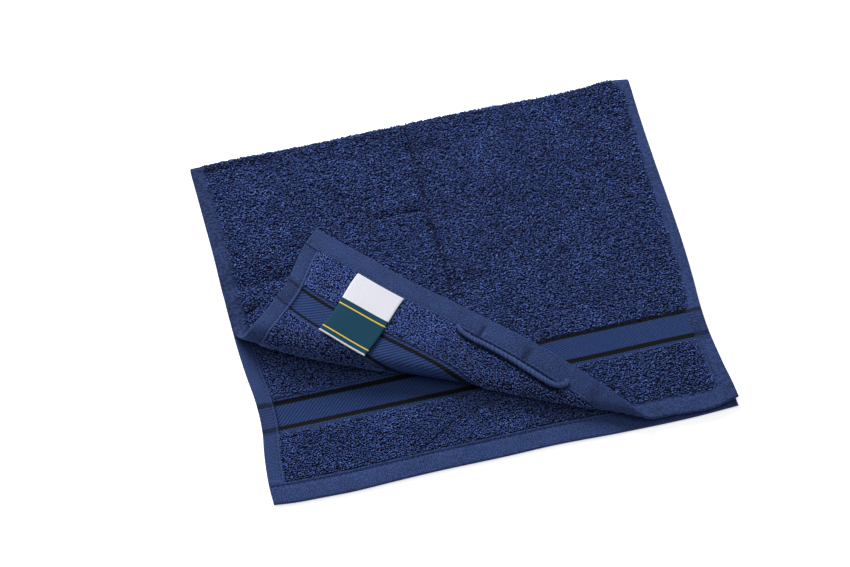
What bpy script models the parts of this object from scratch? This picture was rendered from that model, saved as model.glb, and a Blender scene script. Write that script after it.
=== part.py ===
"""A terry hand towel, folded in half, with one corner of its upper layer turned back.

Blender 4.5. The scene is in metres, +Z up: +X runs across the towel, +Y towards the half fold,
and the origin is on the surface it lies on, under the middle of the folded towel.

The cloth is worked out on the flat towel, in millimetres. A place there is (across, along):
across runs from the left side to the right side, and along from the end of the upper layer,
over the half fold, to the end of the lower layer. cloth_points() folds such places.
"""

import math
from collections import namedtuple

import bmesh
import bpy
import numpy as np

MM = 0.001  # sizes and tables below are in millimetres, and the scene is in metres

# The flat towel
WIDTH = 300.0
LENGTH = 505.0
PILE_THICKNESS = 2.8
BORDER_THICKNESS = 1.4
END_HEM_THICKNESS = 2.2
SIDE_HEM_THICKNESS = 2.0
UPPER_HEM = 15.5
LOWER_HEM = 14.0
SIDE_HEM = 10.5
UPPER_BORDER = (47.5, 67.8)  # from the end of the upper layer
LOWER_BORDER = (49.5, 70.5)  # from the end of the lower layer
THICKNESS_STEP = 1.4  # how far one thickness takes to pass into the next

# The half fold
LAYER_GAP = 0.5
HALF_FOLD_AXIS = 248.6  # along, and also the distance of the fold's axis from the front
HALF_FOLD_ARC = 6.4
HALF_FOLD_SWELL = 0.9
HALF_FOLD_SWELL_REACH = 10.0

# The turned-back corner
CORNER_FOLD_ANGLE = math.radians(-20.5)  # of the fold, seen from above, from +X
BEND_EASE = 0.6  # 0 bends evenly, 1 bends mostly in the middle
RELIEF_START, RELIEF_FULL = 2.0, 22.0  # behind the corner's fold, where the layer's swells begin

# The hanging loop and the label
LOOP_WIDTH = 4.0
LOOP_THICKNESS = 2.4
LABEL_ACROSS = (39.6, 74.0)
LABEL_ALONG = (16.3, 69.8)
LABEL_LEAN = -4.8  # of its free end, towards the left side
LABEL_THICKNESS = 1.0
LABEL_LIFT = 0.6  # of its free end
SEWN_GAP = 0.3

# The middle of the folded towel's box, from its front left corner
MIDDLE = (149.0, 125.7)

GRID = 15.0  # spacing of the cloth's main mesh lines
LABEL_GRID = 8.0
CREASE_CUT_REACH = 18.0  # how far beside a crease the cloth's mesh is cut
CUT_TOLERANCE = 1e-4
SEAM_MERGE = 0.35
BEND_STEPS = 8
BEND_SAMPLES = 65
ARC_STEPS = 6
LOOP_STEPS = 32
LOOP_SIDES = 10

Section = namedtuple("Section", "along_fold start bend slope")
CORNER_SECTIONS = (
    # Square to the corner's fold: where the bend starts, counted from the towel's corner,
    # how much cloth it takes, and how steeply the flap comes down from it, in degrees.
    Section(-40.0, 120.4, 31.0, 9.2),
    Section(0.0, 111.4, 26.1, 6.8),
    Section(45.0, 105.9, 21.2, 5.9),
    Section(90.0, 102.4, 16.5, 5.4),
    Section(130.0, 97.5, 11.6, 1.1),
    Section(165.0, 93.4, 9.5, -5.0),
    Section(200.0, 90.8, 9.4, -9.2),
    Section(240.0, 86.5, 9.6, -12.0),
)

Sides = namedtuple("Sides", "from_end left right")
UPPER_SIDES = (
    # How far each side of the upper layer is drawn in
    Sides(0.0, 0.4, 0.2),
    Sides(12.0, 0.4, 1.1),
    Sides(25.0, 1.6, 2.6),
    Sides(38.0, 3.9, 3.7),
    Sides(50.0, 6.0, 4.6),
    Sides(70.0, 6.9, 4.6),
    Sides(90.0, 6.8, 3.3),
    Sides(108.0, 5.2, 2.4),
    Sides(122.0, 1.8, 2.0),
    Sides(150.0, 0.4, 1.8),
    Sides(185.0, 0.0, 2.0),
    Sides(215.0, -0.9, 1.8),
    Sides(252.0, -1.8, 0.9),
)
LOWER_SIDES = (
    # The same for the lower layer
    Sides(0.0, 1.4, 1.4),
    Sides(14.0, 1.1, 2.0),
    Sides(27.0, 1.8, 3.4),
    Sides(38.0, 2.9, 4.4),
    Sides(50.0, 4.6, 5.2),
    Sides(75.0, 4.9, 5.2),
    Sides(93.0, 3.1, 4.0),
    Sides(112.0, 1.7, 3.2),
    Sides(150.0, 0.8, 2.6),
    Sides(200.0, 0.0, 2.4),
    Sides(252.0, -1.8, 0.9),
)

Edge = namedtuple("Edge", "across ahead")
UPPER_END = (
    # How far the end of the upper layer runs back from its straight line
    Edge(0.0, 0.0),
    Edge(30.0, -0.6),
    Edge(75.0, 1.1),
    Edge(120.0, 0.0),
    Edge(165.0, -2.6),
    Edge(210.0, -1.8),
    Edge(240.0, -0.4),
    Edge(258.0, -0.5),
    Edge(268.0, -1.3),
    Edge(276.0, -1.7),
    Edge(284.0, -1.2),
    Edge(292.0, 0.4),
    Edge(300.0, 2.6),
)
LOWER_END = (
    # The same for the end of the lower layer
    Edge(0.0, 0.8),
    Edge(12.0, -0.5),
    Edge(30.0, -1.2),
    Edge(50.0, -1.7),
    Edge(75.0, -1.0),
    Edge(100.0, -0.4),
    Edge(150.0, -0.5),
    Edge(178.0, -0.1),
    Edge(225.0, -1.5),
    Edge(275.0, -1.6),
    Edge(300.0, -0.4),
)
HALF_FOLD_EDGE = (
    # And for the half fold
    Edge(0.0, -0.6),
    Edge(30.0, 0.2),
    Edge(70.0, -0.7),
    Edge(120.0, 0.0),
    Edge(180.0, 0.8),
    Edge(240.0, 0.0),
    Edge(268.0, 0.8),
    Edge(287.0, 2.6),
    Edge(300.0, 0.8),
)
END_FADE = 45.0  # these offsets fade out this far from their edge

Swell = namedtuple("Swell", "x y reach_x reach_y height")
UPPER_SWELLS = (
    # Where the upper layer stands off the lower one
    Swell(20.0, 174.0, 26.0, 14.0, 1.0),
    Swell(14.0, 141.0, 20.0, 9.0, 1.0),
    Swell(80.0, 218.0, 50.0, 22.0, 1.1),
    Swell(205.0, 200.0, 52.0, 34.0, 1.2),
    Swell(228.0, 118.0, 46.0, 34.0, 1.0),
    Swell(268.0, 36.0, 22.0, 22.0, 0.9),
)
LOWER_SWELLS = (
    # Where the lower layer's open corner stands off the surface under it
    Swell(92.0, 30.0, 24.0, 10.0, 0.7),
    Swell(140.0, 15.0, 24.0, 8.0, 0.7),
)

Crease = namedtuple("Crease", "x0 y0 x1 y1 reach depth")
UPPER_CREASES = (
    # Store folds and creases, which press the swells down: depth 1 is all the way
    Crease(143.0, 252.0, 144.0, 112.0, 6.0, 1.0),
    Crease(-4.0, 155.0, 46.0, 153.0, 5.0, 1.0),
)
LOWER_CREASES = (Crease(92.0, 9.0, 150.0, 40.0, 6.0, 1.0),)

RoutePlace = namedtuple("RoutePlace", "number value")
LoopPoint = namedtuple("LoopPoint", "across along")
LOOP_ROUTE = (
    # The loop's middle line on the flat towel, from one sewn end to the other
    LoopPoint(112.6, 16.6),
    LoopPoint(118.0, 19.2),
    LoopPoint(126.0, 19.7),
    LoopPoint(136.0, 19.0),
    LoopPoint(149.0, 18.7),
    LoopPoint(163.0, 19.0),
    LoopPoint(176.0, 18.9),
    LoopPoint(183.0, 18.1),
    LoopPoint(186.6, 16.4),
    LoopPoint(188.2, 13.2),
)


def read_table(rows, key, value, at):
    """The smooth curve through one column of a table, read at the given places."""
    keys = np.array([getattr(row, key) for row in rows])
    values = np.array([getattr(row, value) for row in rows])
    slopes = np.gradient(values, keys)
    at = np.clip(at, keys[0], keys[-1])
    row = np.clip(np.searchsorted(keys, at, side="right") - 1, 0, len(keys) - 2)
    gap = keys[row + 1] - keys[row]
    t = (at - keys[row]) / gap
    start = (1 + 2 * t) * (1 - t) ** 2 * values[row] + t * (1 - t) ** 2 * gap * slopes[row]
    end = t**2 * (3 - 2 * t) * values[row + 1] - t**2 * (1 - t) * gap * slopes[row + 1]
    return start + end


def rise(x, low, high):
    """0 up to low, 1 from high on, and a soft step between them."""
    t = np.clip((x - low) / (high - low), 0.0, 1.0)
    return t * t * (3 - 2 * t)


def past(x, edge):
    """Which share of a thickness change is behind x."""
    return np.clip((x - edge) / THICKNESS_STEP + 0.5, 0.0, 1.0)


def thickness(across, along):
    """The cloth's thickness: pile, flat-woven borders, and hems."""
    result = np.full(np.shape(across), PILE_THICKNESS)
    for border, from_end in ((UPPER_BORDER, along), (LOWER_BORDER, LENGTH - along)):
        band = past(from_end, border[0]) * (1 - past(from_end, border[1]))
        result += (BORDER_THICKNESS - result) * band
    side = 1 - past(np.minimum(across, WIDTH - across), SIDE_HEM)
    end = np.maximum(1 - past(along, UPPER_HEM), 1 - past(LENGTH - along, LOWER_HEM))
    result += (SIDE_HEM_THICKNESS - result) * side
    return result + (END_HEM_THICKNESS - result) * end


def relief(x, y, swells, creases):
    """How far a layer stands off what is under it, at places seen from above."""
    height = np.zeros(np.shape(x))
    for s in swells:
        height += s.height * np.exp(-(((x - s.x) / s.reach_x) ** 2) - ((y - s.y) / s.reach_y) ** 2)
    for c in creases:
        run = np.array([c.x1 - c.x0, c.y1 - c.y0])
        t = np.clip(((x - c.x0) * run[0] + (y - c.y0) * run[1]) / (run @ run), 0.0, 1.0)
        off = np.hypot(x - c.x0 - t * run[0], y - c.y0 - t * run[1])
        height *= 1 - c.depth * np.exp(-((off / c.reach) ** 2))
    return height


def bend_profile(turn):
    """How far a bend of unit length that turns this far has come, at places along it."""
    steps = np.linspace(0.0, 1.0, BEND_SAMPLES)
    angle = turn * ((1 - BEND_EASE) * steps + BEND_EASE * (1 - np.cos(math.pi * steps)) / 2)
    middle = (angle[1:] + angle[:-1]) / 2
    onward = np.concatenate([[0.0], np.cumsum(np.cos(middle))]) * steps[1]
    upward = np.concatenate([[0.0], np.cumsum(np.sin(middle))]) * steps[1]
    return steps, onward, upward


def turn_corner(x, y, z, stiff=False):
    """Rolls the upper layer's corner up and back over itself, square to the corner's fold.

    What is stiff lies on the turned-back flap and runs straight on where the cloth bends.
    """
    cos, sin = math.cos(CORNER_FOLD_ANGLE), math.sin(CORNER_FOLD_ANGLE)
    along_fold = x * cos + y * sin
    inward = y * cos - x * sin
    start = read_table(CORNER_SECTIONS, "along_fold", "start", along_fold)
    bend = read_table(CORNER_SECTIONS, "along_fold", "bend", along_fold)
    slope = np.radians(read_table(CORNER_SECTIONS, "along_fold", "slope", along_fold))
    share = np.maximum(start - inward, 0.0) / bend
    onward, upward = np.zeros(np.shape(x)), np.zeros(np.shape(x))
    for i in np.flatnonzero(share > 0):
        steps, run, climb = bend_profile(math.pi + slope[i])
        over = share[i] - 1.0 if stiff else max(share[i] - 1.0, 0.0)
        bent = 1.0 if stiff else share[i]
        onward[i] = np.interp(bent, steps, run) - over * math.cos(slope[i])
        upward[i] = np.interp(bent, steps, climb) - over * math.sin(slope[i])
    inward = np.where(share > 0, start - onward * bend, inward)
    return along_fold * cos - inward * sin, along_fold * sin + inward * cos, z + upward * bend


def beyond_fold(x, y):
    """How far behind the start of the corner's bend a place of the upper layer is."""
    cos, sin = math.cos(CORNER_FOLD_ANGLE), math.sin(CORNER_FOLD_ANGLE)
    start = read_table(CORNER_SECTIONS, "along_fold", "start", x * cos + y * sin)
    return y * cos - x * sin - start


def middle_points(across, along, stiff=False):
    """Folds places of the flat towel: the cloth's middle surface, from the front left corner."""
    across, along = np.ravel(across).astype(float), np.ravel(along).astype(float)
    upper = along < HALF_FOLD_AXIS + HALF_FOLD_ARC / 2
    from_end = np.where(upper, along, LENGTH - along)

    def either(upper_rows, lower_rows, key, value, at):
        """A column of the upper layer's table, or of the lower layer's."""
        rows_read = (read_table(rows, key, value, at) for rows in (upper_rows, lower_rows))
        return np.where(upper, *rows_read)

    left = either(UPPER_SIDES, LOWER_SIDES, "from_end", "left", from_end)
    right = either(UPPER_SIDES, LOWER_SIDES, "from_end", "right", from_end)
    x = left + across / WIDTH * (WIDTH - left - right)

    upper_level = np.minimum(along, HALF_FOLD_AXIS)
    lower_level = HALF_FOLD_AXIS - np.maximum(along - HALF_FOLD_AXIS - HALF_FOLD_ARC, 0.0)
    ahead = either(UPPER_END, LOWER_END, "across", "ahead", across)
    back = read_table(HALF_FOLD_EDGE, "across", "ahead", across)
    level = np.where(upper, upper_level, lower_level)
    level = level + ahead * (1 - rise(from_end, 0.0, END_FADE))
    level = level + back * rise(from_end, HALF_FOLD_AXIS - END_FADE, HALF_FOLD_AXIS)

    swell = relief(x, level, UPPER_SWELLS, UPPER_CREASES)
    swell = swell * rise(beyond_fold(x, level), RELIEF_START, RELIEF_FULL)
    near_fold = np.exp(-(((HALF_FOLD_AXIS - level) / HALF_FOLD_SWELL_REACH) ** 2))
    upper_z = PILE_THICKNESS * 1.5 + LAYER_GAP + swell + HALF_FOLD_SWELL * near_fold
    lower_z = thickness(across, along) / 2 + relief(x, level, LOWER_SWELLS, LOWER_CREASES)
    middle_z, fold_radius = (upper_z + lower_z) / 2, (upper_z - lower_z) / 2
    turned = np.clip((along - HALF_FOLD_AXIS) / HALF_FOLD_ARC, 0.0, 1.0) * math.pi
    round_fold = middle_z + fold_radius * np.cos(turned)
    z = np.select([turned <= 0, turned >= math.pi], [upper_z, lower_z], round_fold)
    y = level + fold_radius * np.sin(turned)
    rolled = turn_corner(x, y, z, stiff)
    return np.stack([np.where(upper, a, b) for a, b in zip(rolled, (x, y, z))], axis=1)


def cloth_points(across, along, off_inner=0.0, stiff=False):
    """Places of the flat towel in the scene, off_inner out of the face that the half fold hides."""
    nudge = 0.05
    points = middle_points(across, along, stiff)
    if np.any(off_inner):
        to_side, to_fold = (
            middle_points(np.add(across, du), np.add(along, dv), stiff)
            - middle_points(np.subtract(across, du), np.subtract(along, dv), stiff)
            for du, dv in ((nudge, 0.0), (0.0, nudge)))
        outer = np.cross(to_side, to_fold)
        outer /= np.linalg.norm(outer, axis=1, keepdims=True)
        points = points - outer * np.reshape(off_inner, (-1, 1))
    return (points - np.array([MIDDLE[0], MIDDLE[1], 0.0])) * MM


def clear_scene():
    for obj in list(bpy.data.objects):
        bpy.data.objects.remove(obj, do_unlink=True)


def new_material(name, colour, roughness):
    material = bpy.data.materials.new(name)
    material.use_nodes = True
    shader = material.node_tree.nodes["Principled BSDF"]
    shader.inputs["Base Color"].default_value = (*colour, 1.0)
    shader.inputs["Roughness"].default_value = roughness
    shader.inputs["Metallic"].default_value = 0.0
    return material


def add_object(name, data, collection, material):
    obj = bpy.data.objects.new(name, data)
    collection.objects.link(obj)
    data.materials.append(material)
    return obj


def cut(mesh, point, normal, wanted):
    """Cuts the flat cloth's faces whose centres are wanted along a line through point."""
    faces = [face for face in mesh.faces if wanted(face.calc_center_median())]
    edges = {edge for face in faces for edge in face.edges}
    verts = {vert for face in faces for vert in face.verts}
    bmesh.ops.bisect_plane(mesh, geom=[*verts, *edges, *faces], dist=CUT_TOLERANCE,
                           plane_co=(*point, 0.0), plane_no=(*normal, 0.0))


def flat_grid(left, right, near, far, spacing):
    """A flat sheet of near-square faces in pattern millimetres."""
    mesh = bmesh.new()
    columns, rows = round((right - left) / spacing), round((far - near) / spacing)
    bmesh.ops.create_grid(mesh, x_segments=columns, y_segments=rows, size=0.5)
    for vert in mesh.verts:
        vert.co.x = left + (vert.co.x + 0.5) * (right - left)
        vert.co.y = near + (vert.co.y + 0.5) * (far - near)
    return mesh


def cut_thickness_lines(mesh):
    """Two lines at each change of thickness."""
    def everywhere(centre):
        return True

    for half_step in (-THICKNESS_STEP / 2, THICKNESS_STEP / 2):
        for edge in (SIDE_HEM + half_step, WIDTH - SIDE_HEM - half_step):
            cut(mesh, (edge, 0.0), (1, 0), everywhere)
        upper = [UPPER_HEM, *UPPER_BORDER]
        lower = [LENGTH - edge for edge in (LOWER_HEM, *LOWER_BORDER)]
        for edge in (*upper, *lower):
            cut(mesh, (0.0, edge + half_step), (0, 1), everywhere)
    for step in range(ARC_STEPS + 1):
        cut(mesh, (0.0, HALF_FOLD_AXIS + HALF_FOLD_ARC * step / ARC_STEPS), (0, 1), everywhere)


def cut_creases(mesh):
    """Three lines along each crease of the upper layer."""
    for crease in UPPER_CREASES:
        run = (crease.x1 - crease.x0, crease.y1 - crease.y0)
        size = math.hypot(*run)
        side = (-run[1] / size, run[0] / size)

        def beside(centre, crease=crease, side=side, run=run, size=size):
            dx, dy = centre.x - crease.x0, centre.y - crease.y0
            along = (dx * run[0] + dy * run[1]) / size
            return abs(dx * side[0] + dy * side[1]) < CREASE_CUT_REACH and 0 < along < size

        for off in (-crease.reach, 0.0, crease.reach):
            cut(mesh, (crease.x0 + side[0] * off, crease.y0 + side[1] * off), side, beside)


def cut_corner_bend(mesh):
    """Lines along the corner's bend, straight between one section and the next."""
    cos, sin = math.cos(CORNER_FOLD_ANGLE), math.sin(CORNER_FOLD_ANGLE)

    def on_pattern(along_fold, inward):
        return along_fold * cos - inward * sin, along_fold * sin + inward * cos

    for first, last in zip(CORNER_SECTIONS, CORNER_SECTIONS[1:]):
        def between(centre, first=first, last=last):
            along_fold = centre.x * cos + centre.y * sin
            inward = centre.y * cos - centre.x * sin
            near = min(first.start - first.bend, last.start - last.bend) - GRID
            return first.along_fold < along_fold < last.along_fold and near < inward < first.start + GRID

        def wide(centre, first=first, last=last):
            inward = centre.y * cos - centre.x * sin
            near = min(first.start - first.bend, last.start - last.bend) - GRID
            return near < inward < first.start + GRID and centre.y < HALF_FOLD_AXIS

        cut(mesh, on_pattern(last.along_fold, last.start), (cos, sin), wide)
        for step in range(BEND_STEPS + 1):
            share = step / BEND_STEPS
            x0, y0 = on_pattern(first.along_fold, first.start - first.bend * share)
            x1, y1 = on_pattern(last.along_fold, last.start - last.bend * share)
            size = math.hypot(x1 - x0, y1 - y0)
            cut(mesh, (x0, y0), ((y0 - y1) / size, (x1 - x0) / size), between)


def make_cloth(collection, material):
    mesh = flat_grid(0.0, WIDTH, 0.0, LENGTH, GRID)
    cut_thickness_lines(mesh)
    cut_creases(mesh)
    cut_corner_bend(mesh)
    bmesh.ops.remove_doubles(mesh, verts=mesh.verts, dist=SEAM_MERGE)
    bmesh.ops.triangulate(mesh, faces=mesh.faces, quad_method="BEAUTY", ngon_method="BEAUTY")
    flat = np.array([vert.co for vert in mesh.verts])
    for vert, point in zip(mesh.verts, cloth_points(flat[:, 0], flat[:, 1])):
        vert.co = point
    data = bpy.data.meshes.new("towel_cloth")
    mesh.to_mesh(data)
    mesh.free()
    cloth = add_object("towel_cloth", data, collection, material)
    data.shade_smooth()

    group = cloth.vertex_groups.new(name="thickness")
    for index, size in enumerate(thickness(flat[:, 0], flat[:, 1])):
        group.add([index], float(size) / PILE_THICKNESS, "REPLACE")
    solid = cloth.modifiers.new("pile on both faces", "SOLIDIFY")
    solid.thickness = PILE_THICKNESS * MM
    solid.offset = 0.0
    solid.vertex_group = group.name
    return cloth


def make_label(collection, material):
    """The sewn-in label, which lies on the turned-back corner from the end hem's seam."""
    mesh = flat_grid(*LABEL_ACROSS, *LABEL_ALONG, LABEL_GRID)
    flat = np.array([vert.co for vert in mesh.verts])
    out = (flat[:, 1] - LABEL_ALONG[0]) / (LABEL_ALONG[1] - LABEL_ALONG[0])
    off = PILE_THICKNESS / 2 + SEWN_GAP + LABEL_THICKNESS / 2 + LABEL_LIFT * out**2
    points = cloth_points(flat[:, 0] + LABEL_LEAN * out, flat[:, 1], off, stiff=True)
    for vert, point in zip(mesh.verts, points):
        vert.co = point
    data = bpy.data.meshes.new("label")
    mesh.to_mesh(data)
    mesh.free()
    label = add_object("label", data, collection, material)
    solid = label.modifiers.new("doubled tape", "SOLIDIFY")
    solid.thickness = LABEL_THICKNESS * MM
    solid.offset = 0.0
    return label


def along_route(column, at):
    """One column of the loop's route, read at places that count its points from 0."""
    rows = [RoutePlace(number, getattr(point, column)) for number, point in enumerate(LOOP_ROUTE)]
    return read_table(rows, "number", "value", at)


def make_loop(collection, guides, material):
    """The hanging loop: a flattened cord that lies along the end hem, sewn at both ends."""
    at = np.linspace(0.0, len(LOOP_ROUTE) - 1.0, LOOP_STEPS + 1)
    off = PILE_THICKNESS / 2 + SEWN_GAP + LOOP_THICKNESS / 2
    points = cloth_points(along_route("across", at), along_route("along", at), np.full(len(at), off))

    oval = bpy.data.curves.new("loop section", "CURVE")
    ring = oval.splines.new("POLY")
    ring.points.add(LOOP_SIDES - 1)
    ring.use_cyclic_u = True
    for index, point in enumerate(ring.points):
        turn = -2 * math.pi * index / LOOP_SIDES
        half_width, half_thickness = LOOP_WIDTH / 2 * MM, LOOP_THICKNESS / 2 * MM
        point.co = (half_width * math.cos(turn), half_thickness * math.sin(turn), 0.0, 1.0)
    section = bpy.data.objects.new("loop section", oval)
    section.hide_render = True
    section.display_type = "WIRE"
    guides.objects.link(section)

    route = bpy.data.curves.new("hanging_loop", "CURVE")
    route.dimensions = "3D"
    route.twist_mode = "Z_UP"
    route.bevel_mode = "OBJECT"
    route.bevel_object = section
    route.use_fill_caps = True
    line = route.splines.new("POLY")
    line.points.add(LOOP_STEPS)
    for point, place in zip(line.points, points):
        point.co = (*place, 1.0)
    return add_object("hanging_loop", route, collection, material)


def main():
    clear_scene()
    towel = bpy.data.collections.new("hand towel")
    guides = bpy.data.collections.new("guides")
    for collection in (towel, guides):
        bpy.context.scene.collection.children.link(collection)
    navy_terry = new_material("navy terry", (0.028, 0.050, 0.150), 0.95)
    navy_cord = new_material("navy cord", (0.045, 0.080, 0.215), 0.85)
    white_satin = new_material("white satin", (0.80, 0.80, 0.83), 0.55)
    make_cloth(towel, navy_terry)
    make_loop(towel, guides, navy_cord)
    make_label(towel, white_satin)


if __name__ == "__main__":
    main()
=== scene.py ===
"""The looks of a terry hand towel, folded in half, with one corner of its upper layer turned back.

It is laid out as a Blender 4.5 add-on. The frame is in metres, and the tables are in millimetres.
A place on the flat towel is (across, along): across runs from the left side to the right side, and
along from the end of the upper layer, over the half fold, to the end of the lower layer.
"""

import math
from collections import namedtuple

import bpy
import numpy as np
from mathutils import Matrix, Vector, noise


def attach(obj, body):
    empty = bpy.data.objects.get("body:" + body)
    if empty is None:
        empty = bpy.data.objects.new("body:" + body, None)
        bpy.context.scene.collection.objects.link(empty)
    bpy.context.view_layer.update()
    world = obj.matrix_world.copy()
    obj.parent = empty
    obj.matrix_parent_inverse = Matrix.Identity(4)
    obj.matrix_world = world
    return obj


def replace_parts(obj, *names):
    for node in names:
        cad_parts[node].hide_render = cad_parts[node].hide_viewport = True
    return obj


bl_info = {
    "name": "Folded hand towel",
    "version": (1, 0, 0),
    "blender": (4, 5, 0),
    "location": "3D View > Sidebar > Towel",
    "description": "Makes a folded terry hand towel with its pile, hems, hanging loop and label",
    "category": "Object",
}

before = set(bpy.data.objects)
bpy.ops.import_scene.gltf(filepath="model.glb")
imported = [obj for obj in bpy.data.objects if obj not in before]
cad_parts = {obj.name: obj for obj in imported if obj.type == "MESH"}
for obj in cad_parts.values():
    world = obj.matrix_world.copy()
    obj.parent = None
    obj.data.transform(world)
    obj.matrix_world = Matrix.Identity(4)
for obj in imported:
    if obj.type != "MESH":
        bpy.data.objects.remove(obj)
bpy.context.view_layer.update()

MM = 0.001
BODY = "root"

# The flat towel and its half fold, as in the solids
WIDTH, LENGTH = 300.0, 505.0
PILE_THICKNESS = 2.8
LAYER_GAP = 0.5
HALF_FOLD_AXIS = 248.6
HALF_FOLD_ARC = 6.4
HALF_FOLD_SWELL = 0.9
HALF_FOLD_SWELL_REACH = 10.0
END_FADE = 45.0
MIDDLE = (149.0, 125.7)

# The turned-back corner
CORNER_FOLD_ANGLE = math.radians(-20.5)
FOLD_COS, FOLD_SIN = math.cos(CORNER_FOLD_ANGLE), math.sin(CORNER_FOLD_ANGLE)
BEND_EASE = 0.6
BEND_SAMPLES = 20
RELIEF_START, RELIEF_FULL = 2.0, 22.0

Section = namedtuple("Section", "along_fold start bend slope")
CORNER_SECTIONS = (
    Section(-40.0, 120.4, 31.0, 9.2),
    Section(0.0, 111.4, 26.1, 6.8),
    Section(45.0, 105.9, 21.2, 5.9),
    Section(90.0, 102.4, 16.5, 5.4),
    Section(130.0, 97.5, 11.6, 1.1),
    Section(165.0, 93.4, 9.5, -5.0),
    Section(200.0, 90.8, 9.4, -9.2),
    Section(240.0, 86.5, 9.6, -12.0),
)

Sides = namedtuple("Sides", "from_end left right")
UPPER_SIDES = (
    Sides(0.0, 0.4, 0.2), Sides(12.0, 0.4, 1.1), Sides(25.0, 1.6, 2.6),
    Sides(38.0, 3.9, 3.7), Sides(50.0, 6.0, 4.6), Sides(70.0, 6.9, 4.6),
    Sides(90.0, 6.8, 3.3), Sides(108.0, 5.2, 2.4), Sides(122.0, 1.8, 2.0),
    Sides(150.0, 0.4, 1.8), Sides(185.0, 0.0, 2.0), Sides(215.0, -0.9, 1.8),
    Sides(252.0, -1.8, 0.9),
)
LOWER_SIDES = (
    Sides(0.0, 1.4, 1.4), Sides(14.0, 1.1, 2.0), Sides(27.0, 1.8, 3.4),
    Sides(38.0, 2.9, 4.4), Sides(50.0, 4.6, 5.2), Sides(75.0, 4.9, 5.2),
    Sides(93.0, 3.1, 4.0), Sides(112.0, 1.7, 3.2), Sides(150.0, 0.8, 2.6),
    Sides(200.0, 0.0, 2.4), Sides(252.0, -1.8, 0.9),
)

Edge = namedtuple("Edge", "across ahead")
UPPER_END = (
    Edge(0.0, 0.0), Edge(30.0, -0.6), Edge(75.0, 1.1), Edge(120.0, 0.0),
    Edge(165.0, -2.6), Edge(210.0, -1.8), Edge(240.0, -0.4), Edge(258.0, -0.5),
    Edge(268.0, -1.3), Edge(276.0, -1.7), Edge(284.0, -1.2), Edge(292.0, 0.4),
    Edge(300.0, 2.6),
)
LOWER_END = (
    Edge(0.0, 0.8), Edge(12.0, -0.5), Edge(30.0, -1.2), Edge(50.0, -1.7),
    Edge(75.0, -1.0), Edge(100.0, -0.4), Edge(150.0, -0.5), Edge(178.0, -0.1),
    Edge(225.0, -1.5), Edge(275.0, -1.6), Edge(300.0, -0.4),
)
HALF_FOLD_EDGE = (
    Edge(0.0, -0.6), Edge(30.0, 0.2), Edge(70.0, -0.7), Edge(120.0, 0.0),
    Edge(180.0, 0.8), Edge(240.0, 0.0), Edge(268.0, 0.8), Edge(287.0, 2.6),
    Edge(300.0, 0.8),
)

Swell = namedtuple("Swell", "x y reach_x reach_y height")
UPPER_SWELLS = (
    Swell(20.0, 174.0, 26.0, 14.0, 1.0),
    Swell(14.0, 141.0, 20.0, 9.0, 1.0),
    Swell(80.0, 218.0, 50.0, 22.0, 1.1),
    Swell(205.0, 200.0, 52.0, 34.0, 1.2),
    Swell(228.0, 118.0, 46.0, 34.0, 1.0),
    Swell(268.0, 36.0, 22.0, 22.0, 0.9),
)
LOWER_SWELLS = (
    Swell(92.0, 30.0, 24.0, 10.0, 0.7),
    Swell(140.0, 15.0, 24.0, 8.0, 0.7),
)

Dent = namedtuple("Dent", "across along reach_across reach_along depth")
HEM_DENTS = (
    Dent(127.0, 8.0, 1.9, 5.5, 0.75),
    Dent(158.0, 9.0, 3.6, 6.0, 0.65),
    Dent(206.0, 8.0, 5.0, 6.0, 0.40),
)

Crease = namedtuple("Crease", "x0 y0 x1 y1 reach depth")
UPPER_CREASES = (
    Crease(143.0, 252.0, 144.0, 112.0, 6.0, 1.0),
    Crease(-4.0, 155.0, 46.0, 153.0, 5.0, 1.0),
)
LOWER_CREASES = (Crease(92.0, 9.0, 150.0, 40.0, 6.0, 1.0),)

# Finer troughs (below nought) and ridges, which the solids leave out, and how they wander in the pile
CREASE_WANDER, CREASE_WAVE = 0.6, 6.0
UPPER_FOLDS = (
    Crease(143.5, 248.0, 142.5, 190.0, 1.8, -0.8),
    Crease(142.5, 190.0, 144.0, 114.0, 1.7, -0.85),
    Crease(109.0, 184.0, 138.0, 184.0, 2.2, -0.7),
    Crease(109.0, 190.0, 138.0, 190.5, 3.0, 0.4),
    Crease(131.0, 229.0, 164.0, 229.0, 5.0, -0.45),
    Crease(5.0, 245.0, 54.0, 245.0, 2.6, -0.6),
    Crease(147.0, 124.0, 180.0, 126.0, 3.0, -0.4),
    Crease(4.0, 155.0, 42.0, 154.5, 4.0, -0.55),
    Crease(2.0, 129.0, 21.0, 137.0, 2.4, -0.7),
    Crease(0.0, 146.0, 22.0, 147.0, 3.0, 0.35),
    Crease(178.0, 112.0, 181.0, 90.0, 3.5, -0.5),
    Crease(181.0, 90.0, 188.0, 77.0, 3.0, -0.4),
)
LOWER_FOLDS = (
    Crease(94.0, 12.0, 124.0, 30.0, 2.6, -0.6),
    Crease(124.0, 30.0, 160.0, 40.0, 2.8, -0.5),
    Crease(100.0, 32.0, 122.0, 42.0, 4.0, 0.5),
    Crease(140.0, 27.0, 172.0, 35.0, 4.5, 0.5),
)

# Hems and woven borders: from the end of the upper layer and from the end of the lower one
UPPER_HEM, LOWER_HEM, SIDE_HEM = 15.5, 14.0, 10.5
UPPER_BORDER, LOWER_BORDER = (47.5, 67.8), (49.5, 70.5)
UPPER_LINES, LOWER_LINES = ((47.3, 50.5), (65.6, 68.1)), ((49.0, 53.1), (67.0, 71.0))
BORDER_STRAY = 2.3  # the upper border's right half lies this much further from the end

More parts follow.
